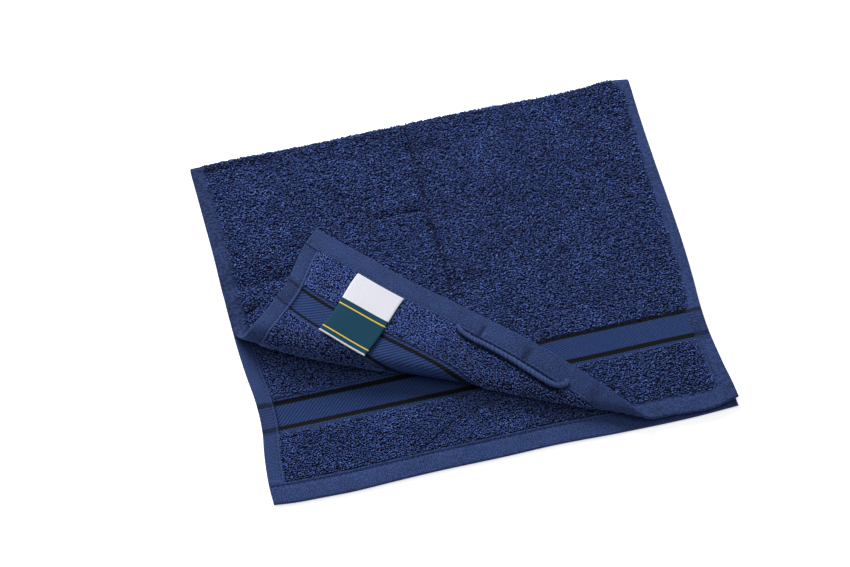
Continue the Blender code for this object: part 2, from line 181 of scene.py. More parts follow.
GROUND_HALF, PILE_HALF, HEM_HALF, SIDE_HALF, BORDER_HALF = 0.45, 1.4, 1.1, 1.0, 0.7
THICKNESS_STEP = 1.4
EDGE_ROUNDING = 1.2
SEAM_GROOVE, SEAM_DEPTH = 1.9, 0.22  # from a hem's inner edge to its seam, and how deep it lies
HEM_FOLD = 0.4  # how far a hem's folded edge stands out of the inner face
HEM_SOFT = 0.15  # half the width of a hem's painted edge
HALF_FOLD_GROUND = 0.55  # the ground is this much thicker at the half fold, behind the pile
DENT_SIDES = (124.0, 130.0)  # mesh lines beside the narrowest dent
TIGHT_BEND = (180.0, 265.0)  # across: twice as many mesh lines, where the corner's bend is tight
FACE_PITCH = 0.340  # metres from the outer face's share of the pattern map to the inner face's

# The pile
PILE_FRAY = 1.2  # on the outer face its edges fray this far, both ways
# How far behind the start of the corner's bend the outer face comes into view, and how far behind it
# the inner faces of the upper and the lower layer go out of view
OUTER_OPENS = (-9.0, -4.0)
INNER_SHUTS = ((6.0, 10.0), (8.0, 14.0))
LOOP_STRAY = (0.30, 0.22)  # of a loop from its place in the grid, across and along
FOOT_SINK = 0.12  # how deep a loop's feet stand in the ground

# The fifth column is painted light added to the tone of the area's loops; the last is how far their tones
# differ at random
PileArea = namedtuple("PileArea", "name outer low high lighter spread")
PILE_AREAS = (
    PileArea("pile_front", True, 0.0, 125.0, 0.05, 1.4),
    PileArea("pile_middle", True, 125.0, 193.0, 0.05, 1.5),
    PileArea("pile_back", True, 193.0, HALF_FOLD_AXIS + HALF_FOLD_ARC + 5.0, 0.05, 1.5),
    PileArea("pile_corner", False, 0.0, 150.0, 0.6, 0.9),
    PileArea("pile_lower", False, 300.0, LENGTH, 0.4, 0.7),
)

# The hanging loop, the label and the sewing thread
RoutePlace = namedtuple("RoutePlace", "number value")
LoopPoint = namedtuple("LoopPoint", "across along")
LOOP_ROUTE = (
    LoopPoint(112.6, 16.6), LoopPoint(118.0, 19.6), LoopPoint(126.0, 20.3),
    LoopPoint(136.0, 19.7), LoopPoint(149.0, 19.5), LoopPoint(163.0, 19.8),
    LoopPoint(176.0, 19.5), LoopPoint(183.0, 18.5), LoopPoint(186.6, 16.4),
    LoopPoint(188.2, 13.2),
)
CORD_CUTS = 60
CORD_LENGTH, CORD_ROUND = 80.0, 10.0  # of the cord's pattern, along it and round it
CORD_TWIST = 2.1
LABEL_ACROSS = (39.6, 74.0)
LABEL_ALONG = (16.3, 69.8)
LABEL_LEAN = -4.8
LABEL_MESH = 4.0
FIELD_START, STRIPE_STARTS = 0.415, (0.49, 0.90)  # shares of the label's length
STRIPE_WIDTH = 0.9
SEWN_GAP = 0.3
THREAD = 0.6
BAR_LENGTH = 4.2
COTTON_SHEEN = (0.4, 0.55, 1.0)


# ---------------------------------------------------------------------------------------------
# The folded cloth's shape


def read_table(rows, key, value, at):
    """The smooth curve through one column of a table, read at the given places."""
    keys = np.array([getattr(row, key) for row in rows])
    values = np.array([getattr(row, value) for row in rows])
    slopes = np.gradient(values, keys)
    at = np.clip(at, keys[0], keys[-1])
    row = np.clip(np.searchsorted(keys, at, side="right") - 1, 0, len(keys) - 2)
    gap = keys[row + 1] - keys[row]
    t = (at - keys[row]) / gap
    start = (1 + 2 * t) * (1 - t) ** 2 * values[row] + t * (1 - t) ** 2 * gap * slopes[row]
    end = t**2 * (3 - 2 * t) * values[row + 1] - t**2 * (1 - t) * gap * slopes[row + 1]
    return start + end


def rise(x, low, high):
    """0 up to low, 1 from high on, and a soft step between them."""
    t = np.clip((x - low) / (high - low), 0.0, 1.0)
    return t * t * (3 - 2 * t)


def off_line(x, y, crease):
    """How far places are from a crease's line."""
    run = np.array([crease.x1 - crease.x0, crease.y1 - crease.y0])
    t = np.clip(((x - crease.x0) * run[0] + (y - crease.y0) * run[1]) / (run @ run), 0.0, 1.0)
    return np.hypot(x - crease.x0 - t * run[0], y - crease.y0 - t * run[1])


def relief(x, y, swells, creases, folds):
    """How far a layer stands off what is under it, at places seen from above."""
    height = np.zeros(np.shape(x))
    for s in swells:
        height += s.height * np.exp(-(((x - s.x) / s.reach_x) ** 2) - ((y - s.y) / s.reach_y) ** 2)
    for c in creases:
        height *= 1 - c.depth * np.exp(-((off_line(x, y, c) / c.reach) ** 2))
    for f in folds:
        height += f.depth * np.exp(-((off_line(x, y, f) / f.reach) ** 2))
    return height


def uneven(across, along, reach_across, reach_along, seed):
    """Smooth random numbers, mostly from -1 to 1, that differ over the given reaches."""
    spots = zip(np.ravel(across) / reach_across, np.ravel(along) / reach_along)
    return 1.6 * np.array([noise.noise((a, b, seed)) for a, b in spots])


def in_crease(across, along, breadth=1.0):
    """0 to 1: how deep in one of the finer troughs, which wander a little, a place is."""
    x, y, upper = seen_from_above(across, along)
    x = x + CREASE_WANDER * uneven(across, along, CREASE_WAVE, CREASE_WAVE, 3.0)
    y = y + CREASE_WANDER * uneven(across, along, CREASE_WAVE, CREASE_WAVE, 4.0)

    def deepest(folds):
        return np.max([-f.depth * np.exp(-((off_line(x, y, f) / (f.reach * breadth)) ** 2))
                       for f in folds if f.depth < 0], axis=0)

    return np.where(upper, deepest(UPPER_FOLDS), deepest(LOWER_FOLDS))


def partings(across, along):
    """0 to 1: short partings between rows of loops, scattered over the pile."""
    return rise(uneven(across, along, 6.0, 1.7, 11.0), 0.3, 0.9)


def along_route(column, at):
    """One column of the hanging loop's route, read at places that count its points from 0."""
    rows = [RoutePlace(number, getattr(point, column)) for number, point in enumerate(LOOP_ROUTE)]
    return read_table(rows, "number", "value", at)


def seen_along_fold(x, y):
    """Places seen from above, measured along the corner's fold and inward from it."""
    return x * FOLD_COS + y * FOLD_SIN, y * FOLD_COS - x * FOLD_SIN


def turn_corner(x, y, z, stiff=False):
    """Rolls the upper layer's corner up and back over itself, square to the corner's fold."""
    along_fold, inward = seen_along_fold(x, y)
    start, bend, slope = (read_table(CORNER_SECTIONS, "along_fold", column, along_fold)
                          for column in ("start", "bend", "slope"))
    slope = np.radians(slope)
    share = np.maximum(start - inward, 0.0) / bend
    bent = np.where(stiff & (share > 0), 1.0, np.minimum(share, 1.0))
    over = share - bent
    places, weights = np.polynomial.legendre.leggauss(BEND_SAMPLES)
    steps = (places + 1) / 2 * bent[:, None]
    turn = (math.pi + slope)[:, None]
    angle = turn * ((1 - BEND_EASE) * steps + BEND_EASE * (1 - np.cos(math.pi * steps)) / 2)
    onward = (np.cos(angle) @ weights) / 2 * bent - over * np.cos(slope)
    upward = (np.sin(angle) @ weights) / 2 * bent - over * np.sin(slope)
    inward = np.where(share > 0, start - onward * bend, inward)
    return (along_fold * FOLD_COS - inward * FOLD_SIN, along_fold * FOLD_SIN + inward * FOLD_COS,
            z + upward * bend)


def beyond_fold(x, y):
    """How far behind the start of the corner's bend a place of the upper layer is."""
    along_fold, inward = seen_along_fold(x, y)
    return inward - read_table(CORNER_SECTIONS, "along_fold", "start", along_fold)


def seen_from_above(across, along):
    """Where places of the flat towel lie before the corner is turned: x, y and which are upper."""
    upper = along < HALF_FOLD_AXIS + HALF_FOLD_ARC / 2
    from_end = np.where(upper, along, LENGTH - along)

    def by_layer(upper_rows, lower_rows, key, value, at):
        return np.where(upper, *(read_table(rows, key, value, at) for rows in (upper_rows, lower_rows)))

    left, right = (by_layer(UPPER_SIDES, LOWER_SIDES, "from_end", side, from_end)
                   for side in ("left", "right"))
    x = left + across / WIDTH * (WIDTH - left - right)
    past_arc = np.maximum(along - (HALF_FOLD_AXIS + HALF_FOLD_ARC), 0.0)
    level = np.where(upper, np.minimum(along, HALF_FOLD_AXIS), HALF_FOLD_AXIS - past_arc)
    ahead = by_layer(UPPER_END, LOWER_END, "across", "ahead", across)
    level = level + ahead * (1 - rise(from_end, 0.0, END_FADE))
    back = read_table(HALF_FOLD_EDGE, "across", "ahead", across)
    level = level + back * rise(from_end, HALF_FOLD_AXIS - END_FADE, HALF_FOLD_AXIS)
    return x, level, upper


def near_half_fold(along, reach):
    """0 to 1: how near to the back edge of the folded towel a place of the outer face is."""
    return np.exp(-(((along - HALF_FOLD_AXIS - HALF_FOLD_ARC / 2) / reach) ** 2))


def woven_along(across, along):
    """Where along the weave a place is: the upper border strays from straight in its right half."""
    beside_border = rise(along, 24.0, 44.0) * (1 - rise(along, 95.0, 140.0))
    return along - BORDER_STRAY * rise(across, 150.0, 205.0) * beside_border


def borders_at(across, along):
    """Each woven border, and how far places are from the end that it is measured from."""
    return (UPPER_BORDER, woven_along(across, along)), (LOWER_BORDER, LENGTH - along)


def full_half(across, along, between=PILE_HALF):
    """Half of the cloth's thickness in borders and hems, and between them as asked."""
    def past(x, edge):
        return np.clip((x - edge) / THICKNESS_STEP + 0.5, 0.0, 1.0)

    half = np.full(np.shape(across), between)
    for border, from_end in borders_at(across, along):
        band = past(from_end, border[0]) * (1 - past(from_end, border[1]))
        half += (BORDER_HALF - half) * band
    half += (SIDE_HALF - half) * (1 - past(np.minimum(across, WIDTH - across), SIDE_HEM))
    hem = np.maximum(1 - past(along, UPPER_HEM), 1 - past(LENGTH - along, LOWER_HEM))
    return half + (HEM_HALF - half) * hem


def middle_points(across, along, stiff=False):
    """Folds places of the flat towel: the cloth's middle surface, from the front left corner."""
    across, along = np.ravel(across).astype(float), np.ravel(along).astype(float)
    x, level, upper = seen_from_above(across, along)
    turned = np.clip((along - HALF_FOLD_AXIS) / HALF_FOLD_ARC, 0.0, 1.0) * math.pi
    near_fold = np.exp(-(((HALF_FOLD_AXIS - level) / HALF_FOLD_SWELL_REACH) ** 2))
    beyond = rise(beyond_fold(x, level), RELIEF_START, RELIEF_FULL)
    upper_z = (PILE_THICKNESS * 1.5 + LAYER_GAP + HALF_FOLD_SWELL * near_fold
               + relief(x, level, UPPER_SWELLS, UPPER_CREASES, UPPER_FOLDS) * beyond)
    lift = np.maximum(relief(x, level, LOWER_SWELLS, LOWER_CREASES, LOWER_FOLDS), 0.0)
    lower_z = full_half(across, along) + lift
    middle_z, fold_radius = (upper_z + lower_z) / 2, (upper_z - lower_z) / 2
    round_fold = middle_z + fold_radius * np.cos(turned)
    z = np.where(turned <= 0, upper_z, np.where(turned >= math.pi, lower_z, round_fold))
    y = level + fold_radius * np.sin(turned)
    folded = turn_corner(x, y, z, stiff)
    return np.stack([np.where(upper, a, b) for a, b in zip(folded, (x, y, z))], axis=1)


def cloth_axes(across, along, stiff=False, reach=1.2):
    """The cloth's directions at places of the flat towel: across, along and out of the outer face."""
    ends = [middle_points(np.add(across, du), np.add(along, dv), stiff)
            for du, dv in ((reach, 0), (-reach, 0), (0, reach), (0, -reach))]
    to_side, to_fold = ends[0] - ends[1], ends[2] - ends[3]
    outer = np.cross(to_side, to_fold)
    to_side /= np.linalg.norm(to_side, axis=1, keepdims=True)
    outer /= np.linalg.norm(outer, axis=1, keepdims=True)
    return to_side, np.cross(outer, to_side), outer


def cloth_points(across, along, off_outer=0.0, stiff=False):
    """Places of the flat towel in the scene, off_outer out of the cloth's outer face."""
    outer = cloth_axes(across, along, stiff)[2]
    points = middle_points(across, along, stiff) + outer * np.reshape(off_outer, (-1, 1))
    return (points - np.array([MIDDLE[0], MIDDLE[1], 0.0])) * MM


def shows(across, along, outer_face):
    """0 to 1: how much of a place's face is open to view, and so has its pile's loops modelled."""
    x, y, upper = seen_from_above(across, along)
    beyond = beyond_fold(x, y)
    open_outer = np.where(along > HALF_FOLD_AXIS + HALF_FOLD_ARC + 3.0, 0.0, rise(beyond, *OUTER_OPENS))
    upper_shuts, lower_shuts = (1 - rise(beyond, *reach) for reach in INNER_SHUTS)
    return np.where(outer_face, open_outer, np.where(upper, upper_shuts, lower_shuts))


def pile_share(across, along, outer_face):
    """0 to 1: where a face has pile, and not a hem or a border."""
    wavy = 0.4 * np.sin(along * 0.83 + 1.0) + 0.5 * np.sin(along * 0.29) + 0.3 * np.sin(across * 0.61 + 2.0)
    over, fray = (np.where(outer_face, ragged, 0.0) for ragged in (wavy, PILE_FRAY))

    def clear_of(hem, from_edge, fray=0.0):
        return rise(from_edge, hem - 0.4 - fray, hem + 0.9 + fray)

    # On the outer face the pile hangs over the hems, most at the right side's front and back
    right_over = 2.6 * rise(along, 55.0, 85.0) + 2.2 * rise(along, 170.0, 240.0)
    right_over = right_over - 4.62 * rise(along, 240.0, 250.0)
    side_over = np.where(across > WIDTH / 2, right_over, 1.5 + 1.2 * rise(along, 215.0, 245.0))
    side_hem = SIDE_HEM - np.where(outer_face, side_over, 0.0) + over
    by_loop = rise(across, 108.0, 114.0) * (1 - rise(across, 184.0, 190.0))
    upper_hem = UPPER_HEM + np.where(outer_face, over - 3.0, 1.3 * by_loop)
    share = clear_of(side_hem, np.minimum(across, WIDTH - across), fray)
    share = share * clear_of(upper_hem, along, fray) * clear_of(LOWER_HEM, LENGTH - along)
    for border, from_end in borders_at(across, along):
        near = border[0] - np.where(outer_face, 2.9, 3.0)
        far = border[1] + np.where(outer_face, 0.1, 1.1)
        share = share * (1 - rise(from_end, near, near + 1.2) * (1 - rise(from_end, far, far + 1.2)))
    return share


# ---------------------------------------------------------------------------------------------
# Settings


def number_setting(name, description, default, **limits):
    return bpy.props.FloatProperty(name=name, description=description, default=default, **limits)


def size_setting(name, description, default):
    return number_setting(name, description, default, min=0.0, subtype="DISTANCE", unit="LENGTH", precision=5)


def angle_setting(name, description, degrees):
    return number_setting(name, description, math.radians(degrees), subtype="ANGLE", unit="ROTATION")


def colour_setting(name, description, default):
    return bpy.props.FloatVectorProperty(name=name, description=description, default=default,
                                         size=3, min=0.0, max=1.0, subtype="COLOR")


class ClothSettings(bpy.types.PropertyGroup):
    pile_colour: colour_setting("Pile", "Terry loops where the light reaches them", (0.056, 0.095, 0.271))
    # The ground's own navy, darkened well below the hems' colour as painted shade down between the loops
    shaded_ground_colour: colour_setting("Ground", "Woven ground between the loops", (0.0055, 0.008, 0.026))
    hem_colour: colour_setting("Hems", "Flat-woven cloth of the hems", (0.0228, 0.0405, 0.118))
    # Painted highlight along the folded inner edges of the hems, brighter than the hems' own colour
    fold_highlight_colour: colour_setting("Hem folds", "Folded inner edges of the hems", (0.042, 0.070, 0.200))
    border_colour: colour_setting("Borders", "Twill of the two woven borders", (0.0158, 0.0340, 0.108))
    line_colour: colour_setting("Lines", "Dark lines along both borders", (0.0044, 0.0041, 0.0042))
    mesh_spacing: size_setting("Mesh spacing", "Spacing of the mesh lines before they are subdivided", 0.0104)
    hem_ribs: size_setting("Hem ribs", "Spacing of the fine ribs of the hems", 0.0015)
    twill_ribs: size_setting("Twill ribs", "Spacing of the ribs of the borders, across the towel", 0.0027)


class PileSettings(bpy.types.PropertyGroup):
    row_spacing: size_setting("Rows", "Distance from one row of loops to the next", 0.00135)
    loop_spacing: size_setting("Loops", "Distance from one loop to the next in a row", 0.00100)
    loop_span: size_setting("Span", "Distance between the feet of a loop", 0.00138)
    loop_height: size_setting("Height", "Height of a loop's yarn over its feet", 0.00105)
    yarn: size_setting("Yarn", "Thickness of the loop's yarn", 0.00076)
    inner_fineness: number_setting("Inner fineness", "Scale of the loops on the inner face", 0.87, min=0.5)
    lean: angle_setting("Lean", "How far loops lean to any side", 24.0)
    turn: angle_setting("Turn", "How far each loop turns out of its row", 22.0)
    drift: angle_setting("Drift", "How far whole patches of loops turn out of their rows", 26.0)
    seed: bpy.props.IntProperty(name="Seed", description="Picks another arrangement of the loops", default=7,
                                min=0)


class TrimSettings(bpy.types.PropertyGroup):
    cord_width: size_setting("Cord width", "Width of the hanging loop's cord", 0.0035)
    cord_thickness: size_setting("Cord thickness", "Thickness of the hanging loop's cord", 0.0024)
    cord_colour: colour_setting("Cord", "Cord of the hanging loop", (0.043, 0.070, 0.188))
    stitch_length: size_setting("Stitch length", "Length of one stitch of the hems", 0.0024)
    stitch_gap: size_setting("Stitch gap", "Distance between two stitches of the hems", 0.0009)
    stitch_colour: colour_setting("Thread", "Sewing thread of the hems", (0.012, 0.022, 0.072))
    label_thickness: size_setting("Label thickness", "Thickness of the doubled label tape", 0.0007)
    label_colour: colour_setting("Label", "Upper field of the label", (0.60, 0.60, 0.66))
    field_colour: colour_setting("Label field", "Lower field of the label", (0.007, 0.042, 0.074))
    stripe_colour: colour_setting("Label stripe", "Thin woven stripes of the label", (0.62, 0.44, 0.05))


class StageSettings(bpy.types.PropertyGroup):
    azimuth: angle_setting("Azimuth", "The camera's place round the towel", -13.687)
    elevation: angle_setting("Elevation", "The camera's height over the surface", 59.297)
    distance: size_setting("Distance", "From the camera to the point it looks at", 1.6605)
    lens: number_setting("Lens", "Focal length of the camera", 109.08, unit="CAMERA")
    look_at: bpy.props.FloatVectorProperty(name="Look at", description="The point at the middle of the view",
                                           default=(-0.0201, 0.0059, 0.0), subtype="TRANSLATION",
                                           unit="LENGTH")
    floor_colour: colour_setting("Floor", "Plain pale floor", (0.93, 0.93, 0.93))
    floor_glow: number_setting("Floor glow", "Light that comes through the floor", 0.5)
    sky_strength: number_setting("Sky", "Even light from all round", 0.16)
    key_strength: number_setting("Key", "Power of the large soft lamp", 102.0, unit="POWER")
    top_strength: number_setting("Top", "Power of the soft lamp overhead", 15.0, unit="POWER")
    key_azimuth: angle_setting("Key azimuth", "The lamp's place, from behind to the right", -12.0)
    key_elevation: angle_setting("Key elevation", "The lamp's height over the surface", 30.0)
    key_distance: size_setting("Key distance", "From the lamp to the towel", 2.4)


# ---------------------------------------------------------------------------------------------
# Helpers for meshes


def deselect_all():
    bpy.ops.object.select_all(action="DESELECT")


def set_mode(mode):
    bpy.ops.object.mode_set(mode=mode)


def apply_modifiers(obj):
    deselect_all()
    obj.select_set(True)
    bpy.context.view_layer.objects.active = obj
    for modifier in list(obj.modifiers):
        bpy.ops.object.modifier_apply(modifier=modifier.name)


def coordinates(mesh):
    flat = np.empty(len(mesh.vertices) * 3, np.float32)
    mesh.vertices.foreach_get("co", flat)
    return flat.reshape(-1, 3).astype(float)


def move_vertices(mesh, points):
    mesh.vertices.foreach_set("co", np.ascontiguousarray(points, np.float32).ravel())
    mesh.update()


def store_attribute(mesh, name, values):
    """Gives each vertex a number, or a vector where the values are rows of three."""
    kind, field = ("FLOAT_VECTOR", "vector") if np.ndim(values) == 2 else ("FLOAT", "value")
    attribute = mesh.attributes.new(name, kind, "POINT")
    attribute.data.foreach_set(field, np.ascontiguousarray(values, np.float32).ravel())


def store_pattern(mesh, per_loop):
    """Stores the pattern map that materials read, in metres."""
    layer = mesh.uv_layers.get("pattern") or mesh.uv_layers.new(name="pattern")
    layer.data.foreach_set("uv", np.ascontiguousarray(per_loop, np.float32).ravel())


def loop_vertices(mesh):
    index = np.empty(len(mesh.loops), np.int32)
    mesh.loops.foreach_get("vertex_index", index)
    return index


def loop_faces(mesh):
    """The number of sides of each face, and the face of each loop."""
    totals = np.empty(len(mesh.polygons), np.int32)
    mesh.polygons.foreach_get("loop_total", totals)
    return totals, np.repeat(np.arange(len(totals)), totals)


def select_where(obj, kind, test):
    """In edit mode, selects only those vertices or polygons of a mesh that pass a test."""
    bpy.ops.mesh.select_all(action="DESELECT")
    set_mode("OBJECT")
    for part in getattr(obj.data, kind):
        part.select = bool(test(part))
    set_mode("EDIT")
    bpy.ops.mesh.select_mode(type="FACE" if kind == "polygons" else "VERT")


def cut_across(places, normal):
    """Bisects the whole mesh in edit mode, square to normal at places in metres along it."""
    for at in places:
        bpy.ops.mesh.select_all(action="SELECT")
        bpy.ops.mesh.bisect(plane_co=tuple(at * n for n in normal), plane_no=normal, threshold=1e-6)


def lines_between(marks, spacing):
    """The marks, and evenly spaced lines between those that are further apart than the spacing."""
    lines = []
    for first, last in zip(marks, marks[1:]):
        parts = max(1, round((last - first) / spacing))
        lines += [first + (last - first) * part / parts for part in range(parts)]
    return lines[1:]


def flat_sheet(name, size, across, along, cuts, thickness):
    """A flat sheet from the origin on, cut along lines in millimetres, subdivided and given two faces."""
    deselect_all()
    bpy.ops.mesh.primitive_plane_add(size=1.0, location=(0.0, 0.0, 0.0))
    sheet = bpy.context.active_object
    sheet.name = name
    set_mode("EDIT")
    bpy.ops.transform.resize(value=(size[0] * MM, size[1] * MM, 1.0), center_override=(0.0, 0.0, 0.0))
    bpy.ops.transform.translate(value=(size[0] / 2 * MM, size[1] / 2 * MM, 0.0))
    cut_across([at * MM for at in across], (1.0, 0.0, 0.0))
    cut_across([at * MM for at in along], (0.0, 1.0, 0.0))
    bpy.ops.mesh.select_all(action="SELECT")
    bpy.ops.mesh.subdivide(number_cuts=cuts)
    set_mode("OBJECT")
    faces = sheet.modifiers.new("two faces", "SOLIDIFY")
    faces.thickness = thickness
    faces.offset = 0.0
    apply_modifiers(sheet)
    return sheet


def place(obj):
    """Finishes a piece: it rides on the towel's one body."""
    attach(obj, BODY)
    return obj


# ---------------------------------------------------------------------------------------------
# Helpers for materials


class Paint:
    """A new procedural material, with short calls for the nodes that it is built from."""

    def __init__(self, name, roughness, gloss=0.1, sheen=0.0, sheen_tint=(1.0, 1.0, 1.0)):
        self.material = bpy.data.materials.new(name)
        self.material.use_nodes = True
        self.tree = self.material.node_tree
        self.shader = self.tree.nodes["Principled BSDF"]
        self.shader.inputs["Roughness"].default_value = roughness
        self.shader.inputs["Specular IOR Level"].default_value = gloss
        self.shader.inputs["Sheen Weight"].default_value = sheen
        self.shader.inputs["Sheen Roughness"].default_value = 0.5
        self.shader.inputs["Sheen Tint"].default_value = (*sheen_tint, 1.0)

    def node(self, kind, **settings):
        node = self.tree.nodes.new(kind)
        for name, value in settings.items():
            setattr(node, name, value)
        return node

    def link(self, source, socket):
        """Gives a socket a number, a colour or the output of another node."""
        if isinstance(source, (int, float)):
            socket.default_value = source
        elif isinstance(source, tuple):
            socket.default_value = (*source, 1.0)
        else:
            self.tree.links.new(source, socket)

    def link_all(self, node, *sources):
        for socket, source in zip(node.inputs, sources):
            self.link(source, socket)
        return node.outputs[0]

    def maths(self, operation, *sources):
        return self.link_all(self.node("ShaderNodeMath", operation=operation), *sources)

    def plus(self, first, second):
        return self.maths("ADD", first, second)

    def minus(self, first, second):
        return self.maths("SUBTRACT", first, second)

    def times(self, first, *others):
        for other in others:
            first = self.maths("MULTIPLY", first, other)
        return first

    def scaled(self, pattern, scale, start):
        """A pattern times a scale, from a start."""
        return self.maths("MULTIPLY_ADD", pattern, scale, start)

    def apart(self, first, second):
        """The distance between two values."""
        return self.maths("ABSOLUTE", self.minus(first, second))

    def pattern(self):
        """The pattern map's two coordinates, in metres on the flat towel."""
        split = self.node("ShaderNodeSeparateXYZ")
        self.link(self.node("ShaderNodeUVMap", uv_map="pattern").outputs[0], split.inputs[0])
        return split.outputs[0], split.outputs[1]

    def attribute(self, name):
        return self.node("ShaderNodeAttribute", attribute_name=name).outputs["Fac"]

    def noise(self, scale, detail=2.0):
        node = self.node("ShaderNodeTexNoise")
        self.link(self.node("ShaderNodeTexCoord").outputs["Object"], node.inputs["Vector"])
        node.inputs["Scale"].default_value = scale
        node.inputs["Detail"].default_value = detail
        return node.outputs[0]

    def speckle(self, scale, contrast):
        """Noise that is drawn out to patches of 0 and 1."""
        return self.step(self.noise(scale), 0.5 - contrast, 0.5 + contrast)

    def mix(self, share, first, second, blend="MIX"):
        node = self.node("ShaderNodeMix", data_type="RGBA", blend_type=blend)
        for socket, source in (("Factor", share), (6, first), (7, second)):
            self.link(source, node.inputs[socket])
        return node.outputs[2]

    def shaded(self, colour, *shares, base=None):
        """A colour brightened and darkened by patterns, each with its share."""
        shade = 1.0 - sum(share for _, share in shares) / 2 if base is None else base
        for pattern, share in shares:
            shade = self.scaled(pattern, share, shade)
        return self.mix(1.0, colour, shade, "MULTIPLY")

    def step(self, value, low, high, out_low=0.0, out_high=1.0):
        node = self.node("ShaderNodeMapRange", interpolation_type="SMOOTHSTEP")
        return self.link_all(node, value, low, high, out_low, out_high)

    def ribs(self, distance, spacing, sharpness=1.0):
        """0 to 1 and back for each spacing of a distance."""
        turns = self.times(distance, 2 * math.pi / spacing)
        return self.maths("POWER", self.scaled(self.maths("SINE", turns), 0.5, 0.5), sharpness)

    def past(self, value, edge, soft=0.2):
        """0 before an edge in millimetres, and 1 past it."""
        return self.step(value, (edge - soft) * MM, (edge + soft) * MM)

    def before(self, value, edge, soft=0.2):
        """1 before an edge in millimetres, and 0 past it."""
        return self.step(value, (edge - soft) * MM, (edge + soft) * MM, 1.0, 0.0)

    def band(self, value, low, high, soft=0.2):
        """1 between two edges in millimetres, and 0 outside them."""
        return self.times(self.past(value, low, soft), self.before(value, high, soft))

    def finish(self, colour, height=None, depth=0.0):
        """Sets the colour, and bumps as high as the given depth in metres."""
        self.link(colour, self.shader.inputs["Base Color"])
        if height is not None:
            bump = self.node("ShaderNodeBump")
            bump.inputs["Distance"].default_value = depth
            self.link(height, bump.inputs["Height"])
            self.link(bump.outputs[0], self.shader.inputs["Normal"])
        return self.material


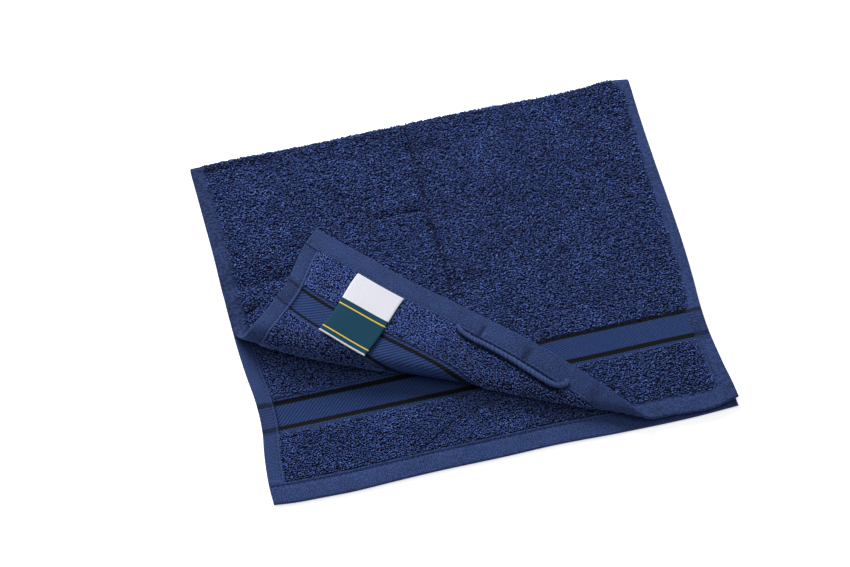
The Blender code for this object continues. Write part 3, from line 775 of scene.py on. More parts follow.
def woven_cloth_paint(settings):
    """Ground, hems and borders of the towel, by their place on the flat pattern, with painted light and shade
    in places.
    """
    paint = Paint("woven cloth", 0.95, sheen=0.03, sheen_tint=COTTON_SHEEN)
    # ground is the woven ground's colour, darkened as painted shade between the loops
    hem, ground = settings.hem_colour[:], settings.shaded_ground_colour[:]

    # Where a place is: its face, and how far it is from the sides and ends
    u, v = paint.pattern()
    inner = paint.maths("GREATER_THAN", u, FACE_PITCH - 0.01)
    u = paint.scaled(inner, -FACE_PITCH, u)
    from_side = paint.maths("MINIMUM", u, paint.minus(WIDTH * MM, u))
    from_lower = paint.minus(LENGTH * MM, v)
    lower_layer = paint.step(v, 0.25, 0.26)
    upper_hem = paint.before(v, UPPER_HEM, HEM_SOFT)
    lower_hem = paint.before(from_lower, LOWER_HEM, HEM_SOFT)
    end_hem = paint.maths("MAXIMUM", upper_hem, lower_hem)
    side_hem = paint.before(from_side, SIDE_HEM, HEM_SOFT)
    not_end = paint.minus(1.0, end_hem)

    # Unevenness of yarn and weave, from wide to fine
    cloudy = paint.noise(55.0, 3.0)
    wander = paint.scaled(paint.noise(420.0, 3.0), 0.0007, -0.00035)
    blotch, grain = paint.speckle(560.0, 0.18), paint.speckle(1500.0, 0.18)
    fuzz, fine = paint.noise(1300.0), paint.noise(3200.0, 1.0)

    # Borders and their dark lines, whose edges fray between the twill's ribs on the inner face
    border = lines = 0.0
    strands = paint.ribs(paint.plus(u, v), settings.twill_ribs / 2)
    thin = paint.step(u, 0.05, 0.12, 0.0001, -0.0001)
    slim = paint.scaled(inner, paint.scaled(strands, 0.0005, thin), wander)
    for value, band, pair in ((v, UPPER_BORDER, UPPER_LINES), (from_lower, LOWER_BORDER, LOWER_LINES)):
        border = paint.plus(border, paint.band(value, band[0] - 1.6, band[1] + 0.5))
        for low, high in pair:
            off = paint.apart(value, (low + high) / 2 * MM)
            lines = paint.plus(lines, paint.before(paint.plus(off, slim), (high - low) / 2))
    slant = paint.times(paint.plus(u, v), paint.scaled(inner, -0.24, 1.24))
    crossed = paint.times(paint.minus(u, v), paint.scaled(inner, 0.76, 1.24))
    twill, broken = (paint.ribs(way, settings.twill_ribs) for way in (slant, crossed))
    twill_tone = paint.shaded(settings.border_colour[:], (grain, 0.45), (twill, 0.6), (broken, 0.42))
    line_tone = paint.shaded(settings.line_colour[:], (strands, 1.2), (grain, 0.5))

    # Hems: ribbed, with painted light on the lower layer's hems, and patchy at the outer face's left side
    end_ribs, side_ribs = (paint.ribs(paint.scaled(wander, 2.2, way), settings.hem_ribs) for way in (u, v))
    hem_ribs = paint.mix(end_hem, paint.mix(0.3, fuzz, side_ribs), end_ribs)
    mottled = paint.mix(inner, blotch, grain)
    hem_tone = paint.shaded(hem, (grain, 0.4), (hem_ribs, 0.36), (cloudy, 0.6), (mottled, 0.4))
    # Painted light: the lower layer's hems are made brighter
    lighter = paint.mix(1.0, hem_tone, (1.5, 1.5, 1.5), "MULTIPLY")
    hem_tone = paint.mix(paint.times(lower_layer, 0.35), hem_tone, lighter)
    outer_left = paint.times(paint.minus(1.0, inner), paint.step(u, 0.02, 0.03, 1.0, 0.0))
    patchy = paint.mix(0.34, paint.shaded(hem, (blotch, 0.8), (grain, 0.5), (cloudy, 0.5)), ground)
    hem_tone = paint.mix(outer_left, hem_tone, patchy)

    # Border and lines go on over the side hems, worn and ribbed
    worn = paint.ribs(paint.scaled(v, 0.7, u), 0.0016, 4.0)
    worn_line = paint.mix(worn, settings.line_colour[:], hem)
    ribbed = paint.times(border, paint.ribs(v, 0.0019), 0.5)
    side_tone = paint.mix(ribbed, hem_tone, ground)
    side_tone = paint.mix(paint.times(lines, 0.9), side_tone, worn_line)
    colour = paint.mix(lines, paint.mix(border, hem_tone, twill_tone), line_tone)
    colour = paint.mix(side_hem, colour, side_tone)
    colour = paint.mix(end_hem, colour, hem_tone)

    # The inner face: a painted highlight on each hem's fold and painted shade in the gap beside it, needle
    # holes by the loop, and painted shade in the dents
    hems = ((from_side, SIDE_HEM, not_end), (v, UPPER_HEM, 0.25), (from_lower, LOWER_HEM, 0.4))
    for value, width, share in hems:
        # Painted highlight: a bright band on each hem's folded edge
        fold = paint.times(paint.band(value, width - 1.3, width - 0.2, 0.3), inner, share)
        fold = paint.times(fold, paint.scaled(lower_layer, -0.5, 1.0), 0.55)
        colour = paint.mix(fold, colour, settings.fold_highlight_colour[:])
        # Painted shade: a dark band of ground colour just past each hem's edge
        gap = paint.times(paint.band(value, width + 0.1, width + 0.9, 0.3), inner, not_end, 0.8)
        colour = paint.mix(gap, colour, ground)
    holes = paint.step(paint.ribs(paint.scaled(wander, 2.0, u), 0.0033), 0.5, 0.75)
    holes = paint.times(holes, inner, paint.band(u, 114.0, 186.0), 0.9)
    holes = paint.times(holes, paint.band(v, UPPER_HEM - 0.1, UPPER_HEM + 1.1, 0.3))
    colour = paint.mix(holes, colour, ground)
    # Painted shade: ground colour laid into the hems' dents, deepest at the middle of each
    for d in HEM_DENTS:
        dent = paint.step(paint.apart(u, d.across * MM), 0.0, 1.2 * d.reach_across * MM, d.depth, 0.0)
        dent = paint.times(dent, inner, paint.step(v, 0.003, 0.008), upper_hem)
        colour = paint.mix(dent, colour, ground)
    # Where the pile grows, the cloth under the loops takes the darkened ground colour: painted shade between
    # the loops
    colour = paint.mix(paint.attribute("pile"), colour, paint.shaded(ground, (fuzz, 0.8)))

    height = paint.mix(border, fuzz, paint.scaled(broken, 0.3, twill))
    any_hem = paint.maths("MAXIMUM", side_hem, end_hem)
    height = paint.mix(any_hem, height, paint.scaled(hem_ribs, 0.4, mottled))
    return paint.finish(colour, paint.mix(0.3, height, fine), 0.0003)


def terry_paint(settings):
    """The loops of the pile: each has a tone of its own, with painted light and shade in it; each loop is
    painted darker at its feet and brighter at its top, and the yarn is fuzzy.
    """
    paint = Paint("terry pile", 1.0, sheen=0.18, sheen_tint=(0.4, 0.52, 1.0))
    fuzz, patch = paint.noise(2600.0), paint.noise(38.0)
    shade = paint.scaled(paint.attribute("tone"), 0.68, 0.39)
    shade = paint.scaled(fuzz, 0.5, shade)
    # Painted shade at each loop's feet and a painted highlight at its top, by the height share of its yarn
    foot_shade_tip_light = paint.step(paint.attribute("tip"), 0.2, 0.95, 0.2, 1.3)
    shade = paint.times(shade, foot_shade_tip_light, paint.step(patch, 0.3, 0.7, 0.88, 1.12))
    return paint.finish(paint.mix(1.0, settings.pile_colour[:], shade, "MULTIPLY"), fuzz, 0.00015)


def cord_paint(colour, twist):
    """The hanging loop's cord: slanting strands round a straight run."""
    paint = Paint("loop cord", 0.9, gloss=0.05, sheen=0.02, sheen_tint=COTTON_SHEEN)
    u, v = paint.pattern()
    strands = paint.ribs(paint.scaled(v, 0.5, u), twist)
    crossed = paint.ribs(paint.scaled(v, -0.5, u), twist / 2)
    height = paint.mix(0.35, strands, crossed)
    tone = paint.shaded(colour, (height, 0.55), (paint.speckle(1500.0, 0.2), 0.6), base=0.25)
    return paint.finish(tone, height, 0.0003)


def thread_paint(colour):
    """Sewing thread."""
    paint = Paint("sewing thread", 0.8, sheen=0.02, sheen_tint=COTTON_SHEEN)
    fuzz = paint.noise(2400.0)
    return paint.finish(paint.shaded(colour, (fuzz, 0.7), base=0.6), fuzz, 0.0001)


def label_paint(settings, length):
    """Woven label tape: a pale upper field, a dark lower one with two thin stripes, and a folded end."""
    paint = Paint("label tape", 0.6, gloss=0.05)
    u, v = paint.pattern()
    weft, warp = paint.ribs(v, 0.00042), paint.ribs(u, 0.00055)
    dark_field = paint.past(v, FIELD_START * length, 0.1)
    colour = paint.mix(dark_field, settings.label_colour[:], settings.field_colour[:])
    for start in STRIPE_STARTS:
        stripe = paint.band(v, start * length, start * length + STRIPE_WIDTH, 0.08)
        colour = paint.mix(stripe, colour, settings.stripe_colour[:])
    colour = paint.mix(paint.past(v, length - 1.05, 0.15), colour, settings.label_colour[:])
    colour = paint.shaded(colour, (warp, 0.06), (weft, 0.10), base=0.88)
    return paint.finish(colour, paint.scaled(warp, 0.5, weft), 0.00006)


# ---------------------------------------------------------------------------------------------
# Small pieces, of which many are scattered


def loop_of_yarn(name, span, height, yarn, material):
    """One loop of pile: a short arch of yarn, spun from a triangle, with pointed feet at height 0."""
    deselect_all()
    bpy.ops.mesh.primitive_circle_add(vertices=3, radius=yarn / 2, location=(-span / 2, 0.0, 0.0),
                                      rotation=(0.0, 0.0, math.pi / 2))
    arch = bpy.context.active_object
    arch.name = name
    bpy.ops.object.transform_apply(location=True, rotation=True, scale=True)
    set_mode("EDIT")
    bpy.ops.mesh.select_all(action="SELECT")
    bpy.ops.mesh.spin(steps=3, angle=-math.pi, center=(0.0, 0.0, 0.0), axis=(0.0, 1.0, 0.0), dupli=False)
    for side in (-1, 1):
        select_where(arch, "vertices", lambda vert: abs(vert.co.z) < yarn / 100 and vert.co.x * side > 0)
        bpy.ops.mesh.merge(type="CENTER")
    bpy.ops.mesh.select_all(action="SELECT")
    bpy.ops.mesh.normals_make_consistent(inside=False)
    top = math.sin(math.pi / 3) * span / 2 + yarn / 2
    bpy.ops.transform.resize(value=(1.0, 1.0, (height + yarn / 2) / top), center_override=(0.0, 0.0, 0.0))
    set_mode("OBJECT")
    # The height share of each vertex, which the pile's paint turns into painted shade at the feet and a
    # painted highlight at the top
    store_attribute(arch.data, "tip", coordinates(arch.data)[:, 2] / height)
    arch.data.materials.append(material)
    return arch


def stitch_of_thread(length, material):
    """One stitch: a spindle of thread, flattened from a low-sided cylinder with narrowed ends."""
    thickness = THREAD * MM
    deselect_all()
    bpy.ops.mesh.primitive_cylinder_add(vertices=6, radius=thickness / 2, depth=length * 0.6,
                                        rotation=(0.0, math.pi / 2, 0.0))
    stitch = bpy.context.active_object
    stitch.name = "stitch"
    bpy.ops.object.transform_apply(location=True, rotation=True, scale=True)
    set_mode("EDIT")
    for side in (-1, 1):
        select_where(stitch, "polygons", lambda face: face.normal.x * side > 0.9)
        bpy.ops.mesh.extrude_region_move(
            TRANSFORM_OT_translate={"value": (side * length * 0.2, 0.0, -thickness * 0.3)})
        bpy.ops.transform.resize(value=(1.0, 0.45, 0.45))
    set_mode("OBJECT")
    stitch.data.materials.append(material)
    return stitch


def scatter(name, shape, points, turns, sizes, tones):
    """One mesh with a copy of shape at each point, turned and sized by the tables given."""
    mesh = bpy.data.meshes.new(name)
    mesh.vertices.add(len(points))
    move_vertices(mesh, points)
    for label, values in (("turn", turns), ("size", sizes), ("tone", tones)):
        store_attribute(mesh, label, values)
    obj = bpy.data.objects.new(name, mesh)
    bpy.context.scene.collection.objects.link(obj)

    tree = bpy.data.node_groups.new(name, "GeometryNodeTree")
    for way in ("INPUT", "OUTPUT"):
        tree.interface.new_socket("Geometry", in_out=way, socket_type="NodeSocketGeometry")
    start, end = tree.nodes.new("NodeGroupInput"), tree.nodes.new("NodeGroupOutput")
    copies = tree.nodes.new("GeometryNodeInstanceOnPoints")
    info = tree.nodes.new("GeometryNodeObjectInfo")
    info.inputs["Object"].default_value = shape
    solid = tree.nodes.new("GeometryNodeRealizeInstances")
    for label, socket in (("turn", "Rotation"), ("size", "Scale")):
        read = tree.nodes.new("GeometryNodeInputNamedAttribute")
        read.data_type = "FLOAT_VECTOR"
        read.inputs["Name"].default_value = label
        tree.links.new(read.outputs["Attribute"], copies.inputs[socket])
    tree.links.new(start.outputs[0], copies.inputs["Points"])
    tree.links.new(info.outputs["Geometry"], copies.inputs["Instance"])
    tree.links.new(copies.outputs[0], solid.inputs[0])
    tree.links.new(solid.outputs[0], end.inputs[0])
    obj.modifiers.new("copies", "NODES").node_group = tree
    apply_modifiers(obj)
    obj.data.shade_smooth()
    return obj


def turns_of(axes, spins, leans, ways):
    """Euler turns of pieces that stand on the cloth, spun about its normal and leaned some way."""
    turns = np.empty((len(spins), 3))
    for index, stand in enumerate(zip(*axes)):
        lean = Matrix.Rotation(leans[index], 3, (math.cos(ways[index]), math.sin(ways[index]), 0.0))
        upright = Matrix(stand).transposed()
        turns[index] = (upright @ lean @ Matrix.Rotation(spins[index], 3, "Z")).to_euler()
    return turns


def face_axes(across, along, side):
    """The directions across, along and out of the outer face (side 1) or the inner face (side -1)."""
    to_side, to_fold, normal = cloth_axes(across, along)
    return to_side, side * to_fold, side * normal


def sew(name, stitch, spots, off, side):
    """Sews copies of a stitch to a face of the cloth, at spots of (across, along, turn)."""
    across, along, spins = spots.T
    none = np.zeros(len(spins))
    points = cloth_points(across, along, side * off)
    turns = turns_of(face_axes(across, along, side), side * spins, none, none)
    place(scatter(name, stitch, points, turns, np.ones((len(spins), 3)), none))


# ---------------------------------------------------------------------------------------------
# Operators


class TOWEL_OT_lay_cloth(bpy.types.Operator):
    """Cuts the flat cloth with its hems and borders, folds it, and turns its corner back"""

    bl_idname = "towel.lay_cloth"
    bl_label = "Lay the cloth"

    def cut(self, spacing):
        """The flat cloth, cut beside hems, borders, the half fold and the tighter bends."""
        step = THICKNESS_STEP / 2
        side, upper, lower = ([EDGE_ROUNDING, hem - SEAM_GROOVE - step, hem - step, hem + step]
                              for hem in (SIDE_HEM, UPPER_HEM, LOWER_HEM))
        for marks, border in ((upper, UPPER_BORDER), (lower, LOWER_BORDER)):
            marks += [mark for edge in border for mark in (edge - step, edge + step)]
        upper.append(UPPER_BORDER[1] + 2 * step)
        marks = [0.0, *side, *DENT_SIDES, *TIGHT_BEND, *(WIDTH - mark for mark in reversed(side)), WIDTH]
        across = lines_between(marks, spacing)
        tight = int((TIGHT_BEND[1] - TIGHT_BEND[0]) / spacing)
        across += [TIGHT_BEND[0] + (index + 0.5) * spacing for index in range(tight)]
        bend = (-6.0, 0.0, HALF_FOLD_ARC / 2, HALF_FOLD_ARC, HALF_FOLD_ARC + 6.0)
        arc = [HALF_FOLD_AXIS + at for at in bend]
        marks = [0.0, *upper, *arc, *(LENGTH - mark for mark in reversed(lower)), LENGTH]
        return flat_sheet("terry_cloth", (WIDTH, LENGTH), across, lines_between(marks, spacing), 3, MM)

    def thickness(self, u, v, outer, share, shown):
        """How far each place of a face is from the cloth's middle, with the hems' folds and seams."""
        ground = GROUND_HALF + HALF_FOLD_GROUND * np.where(outer, near_half_fold(v, 5.0), 0.0)
        open_half = full_half(u, v, BORDER_HALF)
        open_half += (ground - open_half) * share
        half = full_half(u, v)
        half += (open_half - half) * shown
        far = 99.0
        end = (v < UPPER_HEM) | (LENGTH - v < LOWER_HEM)
        from_hem_edge = np.array([np.where(end, far, SIDE_HEM - np.minimum(u, WIDTH - u)),
                                  UPPER_HEM - v, LOWER_HEM - (LENGTH - v)])
        from_hem_edge = np.min(np.where(from_hem_edge < -0.5, far, np.abs(from_hem_edge)), axis=0)
        hem_fold = np.where(outer, 0.0, HEM_FOLD) * np.exp(-(((from_hem_edge - 0.5) / 0.7) ** 2))
        seam = SEAM_DEPTH * np.exp(-(((from_hem_edge - SEAM_GROOVE) / 0.6) ** 2))
        half += (1 - share * shown) * (hem_fold - seam)
        for d in HEM_DENTS:
            off = ((u - d.across) / d.reach_across) ** 2 + ((v - d.along) / d.reach_along) ** 2
            half -= np.where(outer, 0.0, d.depth) * np.exp(-off)
        from_edge = np.minimum(np.minimum(u, WIDTH - u), np.minimum(v, LENGTH - v))
        inset = np.clip(from_edge / EDGE_ROUNDING, 0.0, 1.0)
        return half * (0.30 + 0.70 * np.sqrt(1 - (1 - inset) ** 2))

    def execute(self, context):
        settings = context.scene.towel_cloth
        cloth = self.cut(settings.mesh_spacing / MM)
        mesh = cloth.data
        flat = coordinates(mesh)
        u, v, outer = flat[:, 0] / MM, flat[:, 1] / MM, flat[:, 2] > 0
        share, shown = pile_share(u, v, outer), shows(u, v, outer)
        half = self.thickness(u, v, outer, share, shown)
        move_vertices(mesh, cloth_points(u, v, np.where(outer, half, -half)))
        mesh.shade_smooth()

        ends = loop_vertices(mesh)
        totals, face_of_loop = loop_faces(mesh)
        face_outer = np.bincount(face_of_loop, outer[ends]) > totals / 2
        pattern = np.stack([u, woven_along(u, v)], axis=1)[ends] * MM
        pattern[~face_outer[face_of_loop], 0] += FACE_PITCH
        store_pattern(mesh, pattern)
        # Where the pile grows; there the cloth's paint lays the darkened ground colour, as painted shade
        # between the loops
        store_attribute(mesh, "pile", rise(share * shown, 0.5, 1.0))
        mesh.materials.append(woven_cloth_paint(settings))
        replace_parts(place(cloth), "towel_cloth")
        return {"FINISHED"}


class TOWEL_OT_raise_pile(bpy.types.Operator):
    """Sets a loop of yarn at each place where the cloth's pile is open to view"""

    bl_idname = "towel.raise_pile"
    bl_label = "Raise the pile"

    def find_places(self, area, settings, fineness, generator):
        """Where the loops of an area stand, and how fully its pile grows there."""
        row_pitch = settings.row_spacing / MM * fineness
        loop_pitch = settings.loop_spacing / MM * fineness
        grid = np.meshgrid(np.arange(0.0, WIDTH, loop_pitch), np.arange(0.0, LENGTH, row_pitch))
        u, v = (way.ravel() for way in grid)
        u = u + (np.round(v / row_pitch) % 2) * loop_pitch / 2
        inside = (v >= area.low) & (v < area.high) & (u < WIDTH)
        across, along = (way[inside] + generator.normal(0.0, spread, inside.sum())
                         for way, spread in ((u, LOOP_STRAY[0]), (v, LOOP_STRAY[1])))
        share = pile_share(across, along, area.outer) * shows(across, along, area.outer)
        parted = np.maximum(rise(in_crease(across, along, 0.6), 0.35, 0.85), 0.5 * partings(across, along))
        kept = share * (1 - parted) > generator.random(len(across)) * 0.86 + 0.1
        return across[kept], along[kept], share[kept]

    def raise_area(self, area, yarn_loop, settings, generator):
        fineness = 1.0 if area.outer else settings.inner_fineness
        across, along, share = self.find_places(area, settings, fineness, generator)
        count = len(across)
        side = 1 if area.outer else -1
        deep = np.maximum(0.8 * in_crease(across, along), 0.4 * partings(across, along))
        at_half_fold = near_half_fold(along, 4.0) * area.outer
        under = rise(along, HALF_FOLD_AXIS + HALF_FOLD_ARC / 2, HALF_FOLD_AXIS + HALF_FOLD_ARC) * area.outer

        drift = uneven(across, along, 8.0, 8.0, 5.0) * settings.drift
        spins = generator.normal(0.0, settings.turn, count) + drift
        leans = np.abs(generator.normal(0.0, settings.lean, count))
        tall = generator.normal(1.0, 0.16, count) - 0.3 * deep - 0.4 * (1 - share)
        tall -= 0.65 * under * (tall - 0.2)
        thick = generator.normal(1.0, 0.12, count) - 0.1 * at_half_fold
        sizes = np.stack([generator.normal(1.0, 0.15, count), thick, tall], axis=1)
        sizes = np.clip(sizes * (fineness, fineness, 1.0), 0.5, 1.8)
        ways = generator.uniform(0, 2 * math.pi, count)
        # Painted light on the loops' tone; on the inner faces it grows away from the corner's bend, and near
        # the bend it turns to painted shade
        lighter = area.lighter
        if not area.outer:
            bend_shift = 10.0 if area.name == "pile_corner" else 0.0
            from_bend = np.abs(beyond_fold(*seen_from_above(across, along)[:2]) + bend_shift)
            lighter = lighter * rise(from_bend, 8.0, 34.0) - 0.15
        # Each loop's tone differs at random, with painted shade in the creases, in the partings and along the
        # back fold, and with the painted light above
        tones = 0.5 + (generator.random(count) - 0.5) * area.spread - deep - 0.4 * at_half_fold + lighter
        # Painted shadow of the hanging loop's cord: a dark band on the loops just in front of it
        if area.name == "pile_corner":
            cord = np.interp(across, *zip(*LOOP_ROUTE))
            cord_shadow = np.exp(-(((along - cord - 2.5) / 1.3) ** 2)) * (across > 113.0) * (across < 189.0)
            tones -= 1.4 * cord_shadow

        turns = turns_of(face_axes(across, along, side), spins, leans, ways)
        points = cloth_points(across, along, np.full(count, side * (GROUND_HALF - FOOT_SINK)))
        place(scatter(area.name, yarn_loop, points, turns, sizes, np.clip(tones, -0.75, 1.6)))

    def execute(self, context):
        settings = context.scene.towel_pile
        yarn_loop = loop_of_yarn("loop_of_yarn", settings.loop_span, settings.loop_height, settings.yarn,
                                 terry_paint(context.scene.towel_cloth))
        yarn_loop.hide_render = True
        generator = np.random.default_rng(settings.seed)
        for area in PILE_AREAS:
            self.raise_area(area, yarn_loop, settings, generator)
        bpy.data.objects.remove(yarn_loop)
        return {"FINISHED"}


class TOWEL_OT_sew_hems(bpy.types.Operator):
    """Sews the hems with a line of stitches beside their inner edges, on both faces"""

    bl_idname = "towel.sew_hems"
    bl_label = "Sew the hems"

    def execute(self, context):
        settings = context.scene.towel_trim
        thread = stitch_of_thread(settings.stitch_length, thread_paint(settings.stitch_colour[:]))
        thread.hide_render = True
        pitch = (settings.stitch_length + settings.stitch_gap) / MM
        spots = []
        for at in (SIDE_HEM - SEAM_GROOVE, WIDTH - SIDE_HEM + SEAM_GROOVE):
            run = np.arange(UPPER_HEM + 1.0, LENGTH - LOWER_HEM - 1.0, pitch)
            spots.append(np.stack([np.full(len(run), at), run, np.full(len(run), math.pi / 2)], axis=1))
        for at in (UPPER_HEM - SEAM_GROOVE, LENGTH - LOWER_HEM + SEAM_GROOVE):
            run = np.arange(2.0, WIDTH - 2.0, pitch)
            spots.append(np.stack([run, np.full(len(run), at), np.zeros(len(run))], axis=1))
        spots = np.concatenate(spots)
        off = full_half(spots[:, 0], spots[:, 1]) - SEAM_DEPTH
        sew("stitches_outer", thread, spots, off, 1)
        sew("stitches_inner", thread, spots, off, -1)
        bpy.data.objects.remove(thread)
        return {"FINISHED"}


class TOWEL_OT_sew_hanging_loop(bpy.types.Operator):
    """Lays the flattened cord of the hanging loop along the end hem, with its ends sewn down"""

    bl_idname = "towel.sew_hanging_loop"
    bl_label = "Sew the hanging loop"

    def straight_cord(self):
        """A rod 1 m long and 1 m thick along +X, cut into short lengths, with rounded-off ends."""
        deselect_all()
        bpy.ops.mesh.primitive_cylinder_add(vertices=16, radius=0.5, depth=1.0,
                                            rotation=(0.0, math.pi / 2, 0.0))
        cord = bpy.context.active_object
        cord.name = "cord_loop"
        bpy.ops.object.transform_apply(location=True, rotation=True, scale=True)
        set_mode("EDIT")
        bpy.ops.transform.translate(value=(0.5, 0.0, 0.0))
        cut_across([index / CORD_CUTS for index in range(1, CORD_CUTS)], (1.0, 0.0, 0.0))
        select_where(cord, "polygons", lambda face: abs(face.normal.x) > 0.9)
        bpy.ops.mesh.inset(thickness=0.12)
        bpy.ops.mesh.inset(thickness=0.12)
        set_mode("OBJECT")
        return cord

    def execute(self, context):
        settings = context.scene.towel_trim
        cord = self.straight_cord()
        mesh = cord.data
        run, sideways, upward = coordinates(mesh).T
        at = run * (len(LOOP_ROUTE) - 1)
        across, along = along_route("across", at), along_route("along", at)
        ahead = np.stack([along_route(column, at + 0.02) - along_route(column, at - 0.02)
                          for column in ("across", "along")], axis=1)
        ahead /= np.linalg.norm(ahead, axis=1, keepdims=True) + 1e-9
        narrow = 0.72 + 0.28 * rise(run, 0.0, 0.08) * rise(1 - run, 0.0, 0.06)
        wide = sideways * settings.cord_width / MM * narrow
        sewn_down = 1 - rise(1 - run, 0.0, 0.16)
        thickness = settings.cord_thickness / MM * (1 - 0.45 * sewn_down)
        off = PILE_HALF + SEWN_GAP - 0.4 * sewn_down + thickness * (0.5 + upward)
        move_vertices(mesh, cloth_points(across - ahead[:, 1] * wide, along + ahead[:, 0] * wide, -off))
        mesh.shade_smooth()

        # The pattern runs along the cord and once round it, so each face stays on one side of the seam
        ends = loop_vertices(mesh)
        face_of_loop = loop_faces(mesh)[1]
        turn = (np.arctan2(upward, sideways) / math.pi * CORD_ROUND / 2)[ends]
        highest = np.full(len(mesh.polygons), -1.0)
        np.maximum.at(highest, face_of_loop, turn)
        turn = np.where(highest[face_of_loop] - turn > CORD_ROUND / 2, turn + CORD_ROUND, turn)
        store_pattern(mesh, np.stack([run[ends] * CORD_LENGTH, turn], axis=1) * MM)
        mesh.materials.append(cord_paint(settings.cord_colour[:], CORD_TWIST * MM))
        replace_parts(place(cord), "hanging_loop")

        # Five threads over the cord's end, and eight at the left end of the hem
        bar = stitch_of_thread(BAR_LENGTH * MM, thread_paint(settings.cord_colour[:]))
        bar.hide_render = True
        spots = np.array([(186.9 + 0.55 * index, 12.6 + 0.05 * index, 1.25) for index in range(5)]
                         + [(4.2 + 0.7 * index, 14.0, 1.45) for index in range(8)])
        on_cord = spots[:, 0] > LOOP_ROUTE[0].across
        sew("bar_tacks", bar, spots, np.where(on_cord, PILE_HALF + SEWN_GAP + 0.95, HEM_HALF + 0.1), -1)
        bpy.data.objects.remove(bar)
        return {"FINISHED"}


class TOWEL_OT_sew_label(bpy.types.Operator):
    """Lays the folded label tape on the turned-back corner, from the end hem's seam"""

    bl_idname = "towel.sew_label"
    bl_label = "Sew the label"

    def execute(self, context):
        settings = context.scene.towel_trim
        width, length = LABEL_ACROSS[1] - LABEL_ACROSS[0], LABEL_ALONG[1] - LABEL_ALONG[0]
        rim = 0.6
        across = lines_between([0.0, rim, width - rim, width], LABEL_MESH)
        along = lines_between([0.0, rim, length - 1.4, length - rim, length], LABEL_MESH)
        label = flat_sheet("label_tape", (width, length), across, along, 2, settings.label_thickness)
        mesh = label.data
        flat = coordinates(mesh)
        u, v, up = flat.T / MM
        out = v / length
        wave = 0.35 * np.sin(u / width * 5.0 + 0.6) * out + 0.5 * out**2
        folded = 1 + 0.6 * rise(out, 1 - 3.0 / length, 1 - 1.0 / length)
        from_edge = np.minimum(np.minimum(u, width - u), length - v)
        rounded = 0.45 + 0.55 * np.clip(from_edge / rim, 0, 1)
        off = PILE_HALF + SEWN_GAP + 0.5 + wave + up * folded * rounded
        points = cloth_points(LABEL_ACROSS[0] + u + LABEL_LEAN * out, LABEL_ALONG[0] + v, -off, stiff=True)
        move_vertices(mesh, points)
        mesh.shade_smooth()
        store_pattern(mesh, flat[loop_vertices(mesh), :2])
        mesh.materials.append(label_paint(settings, length))
        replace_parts(place(label), "label")
        return {"FINISHED"}


def outward(azimuth, elevation):
    """The direction at a bearing from +Y towards +X, and at a height over the surface."""
    level = math.cos(elevation)
    return np.array([math.sin(azimuth) * level, math.cos(azimuth) * level, math.sin(elevation)])


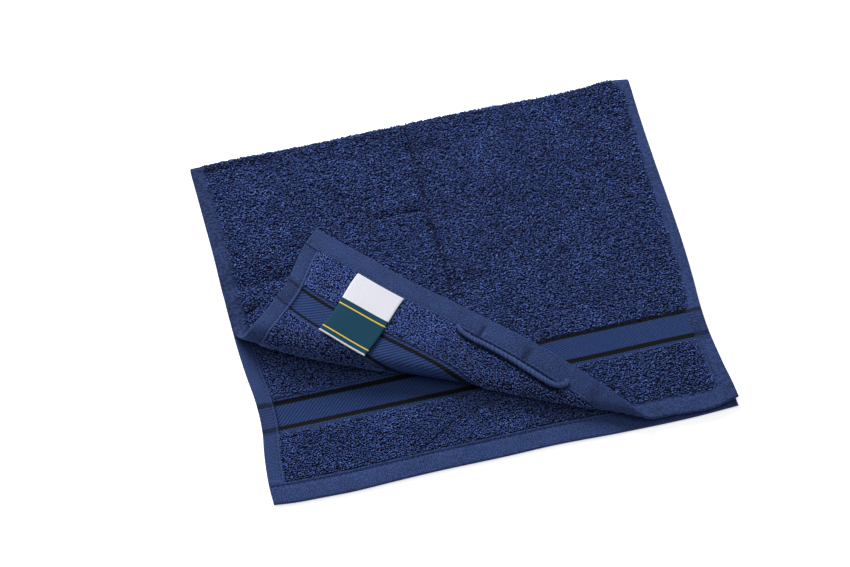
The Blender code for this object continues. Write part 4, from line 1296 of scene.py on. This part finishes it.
class TOWEL_OT_set_stage(bpy.types.Operator):
    """Sets the plain pale floor, the soft studio light and the camera"""

    bl_idname = "towel.set_stage"
    bl_label = "Set the stage"

    def execute(self, context):
        settings = context.scene.towel_stage
        deselect_all()
        bpy.ops.mesh.primitive_plane_add(size=12.0, location=(0.0, 0.0, 0.0))
        floor = context.active_object
        floor.name = "floor"
        paint = Paint("pale floor", 0.9)
        colour = settings.floor_colour[:]
        paint.shader.inputs["Emission Color"].default_value = (1.0, 1.0, 1.0, 1.0)
        paint.shader.inputs["Emission Strength"].default_value = settings.floor_glow
        cloudy = paint.mix(paint.noise(3.0, 1.0), colour, tuple(c * 0.995 for c in colour))
        floor.data.materials.append(paint.finish(cloudy))

        # The azimuth is the turn of a camera that looks along +Y, so its place is that far round from -Y
        back = outward(math.pi - settings.azimuth, settings.elevation)
        bpy.ops.object.camera_add(location=tuple(np.array(settings.look_at) + back * settings.distance),
                                  rotation=(math.pi / 2 - settings.elevation, 0.0, settings.azimuth))
        camera = context.active_object
        camera.name = "camera"
        camera.data.lens = settings.lens
        camera.data.sensor_width = 36.0
        camera.data.sensor_fit = "HORIZONTAL"
        camera.data.clip_start = 0.05
        context.scene.camera = camera

        toward = Vector(outward(settings.key_azimuth, settings.key_elevation))
        for name, direction, distance, size, power in (
                ("key_light", toward, settings.key_distance, (1.3, 0.9), settings.key_strength),
                ("top_light", Vector((0.0, 0.0, 1.0)), 1.7, (2.2, 2.2), settings.top_strength)):
            bpy.ops.object.light_add(type="AREA", location=direction * distance,
                                     rotation=direction.to_track_quat("Z", "Y").to_euler())
            lamp = context.active_object
            lamp.name = name
            lamp.data.shape = "RECTANGLE"
            lamp.data.size, lamp.data.size_y = size
            lamp.data.energy = power
        world = bpy.data.worlds.new("studio")
        world.use_nodes = True
        world.node_tree.nodes["Background"].inputs["Color"].default_value = (1.0, 1.0, 1.0, 1.0)
        world.node_tree.nodes["Background"].inputs["Strength"].default_value = settings.sky_strength
        context.scene.world = world
        context.scene.view_settings.view_transform = "Standard"
        return {"FINISHED"}


class TOWEL_PT_towel(bpy.types.Panel):
    """Lists the steps that make the towel"""

    bl_idname = "TOWEL_PT_towel"
    bl_label = "Folded hand towel"
    bl_space_type = "VIEW_3D"
    bl_region_type = "UI"
    bl_category = "Towel"

    def draw(self, context):
        for operator in OPERATORS:
            self.layout.operator(operator.bl_idname)
        for group in ("towel_cloth", "towel_pile", "towel_trim", "towel_stage"):
            settings = getattr(context.scene, group)
            box = self.layout.box()
            for name in settings.bl_rna.properties.keys():
                if name not in ("rna_type", "name"):
                    box.prop(settings, name)


OPERATORS = (
    TOWEL_OT_lay_cloth,
    TOWEL_OT_raise_pile,
    TOWEL_OT_sew_hems,
    TOWEL_OT_sew_hanging_loop,
    TOWEL_OT_sew_label,
    TOWEL_OT_set_stage,
)
SETTINGS = (
    ("towel_cloth", ClothSettings),
    ("towel_pile", PileSettings),
    ("towel_trim", TrimSettings),
    ("towel_stage", StageSettings),
)


def register():
    for name, group in SETTINGS:
        bpy.utils.register_class(group)
        setattr(bpy.types.Scene, name, bpy.props.PointerProperty(type=group))
    for cls in (*OPERATORS, TOWEL_PT_towel):
        bpy.utils.register_class(cls)


def unregister():
    for cls in (TOWEL_PT_towel, *reversed(OPERATORS)):
        bpy.utils.unregister_class(cls)
    for name, group in reversed(SETTINGS):
        delattr(bpy.types.Scene, name)
        bpy.utils.unregister_class(group)


def main():
    register()
    bpy.ops.towel.lay_cloth()
    bpy.ops.towel.raise_pile()
    bpy.ops.towel.sew_hems()
    bpy.ops.towel.sew_hanging_loop()
    bpy.ops.towel.sew_label()
    bpy.ops.towel.set_stage()


if __name__ == "__main__":
    main()
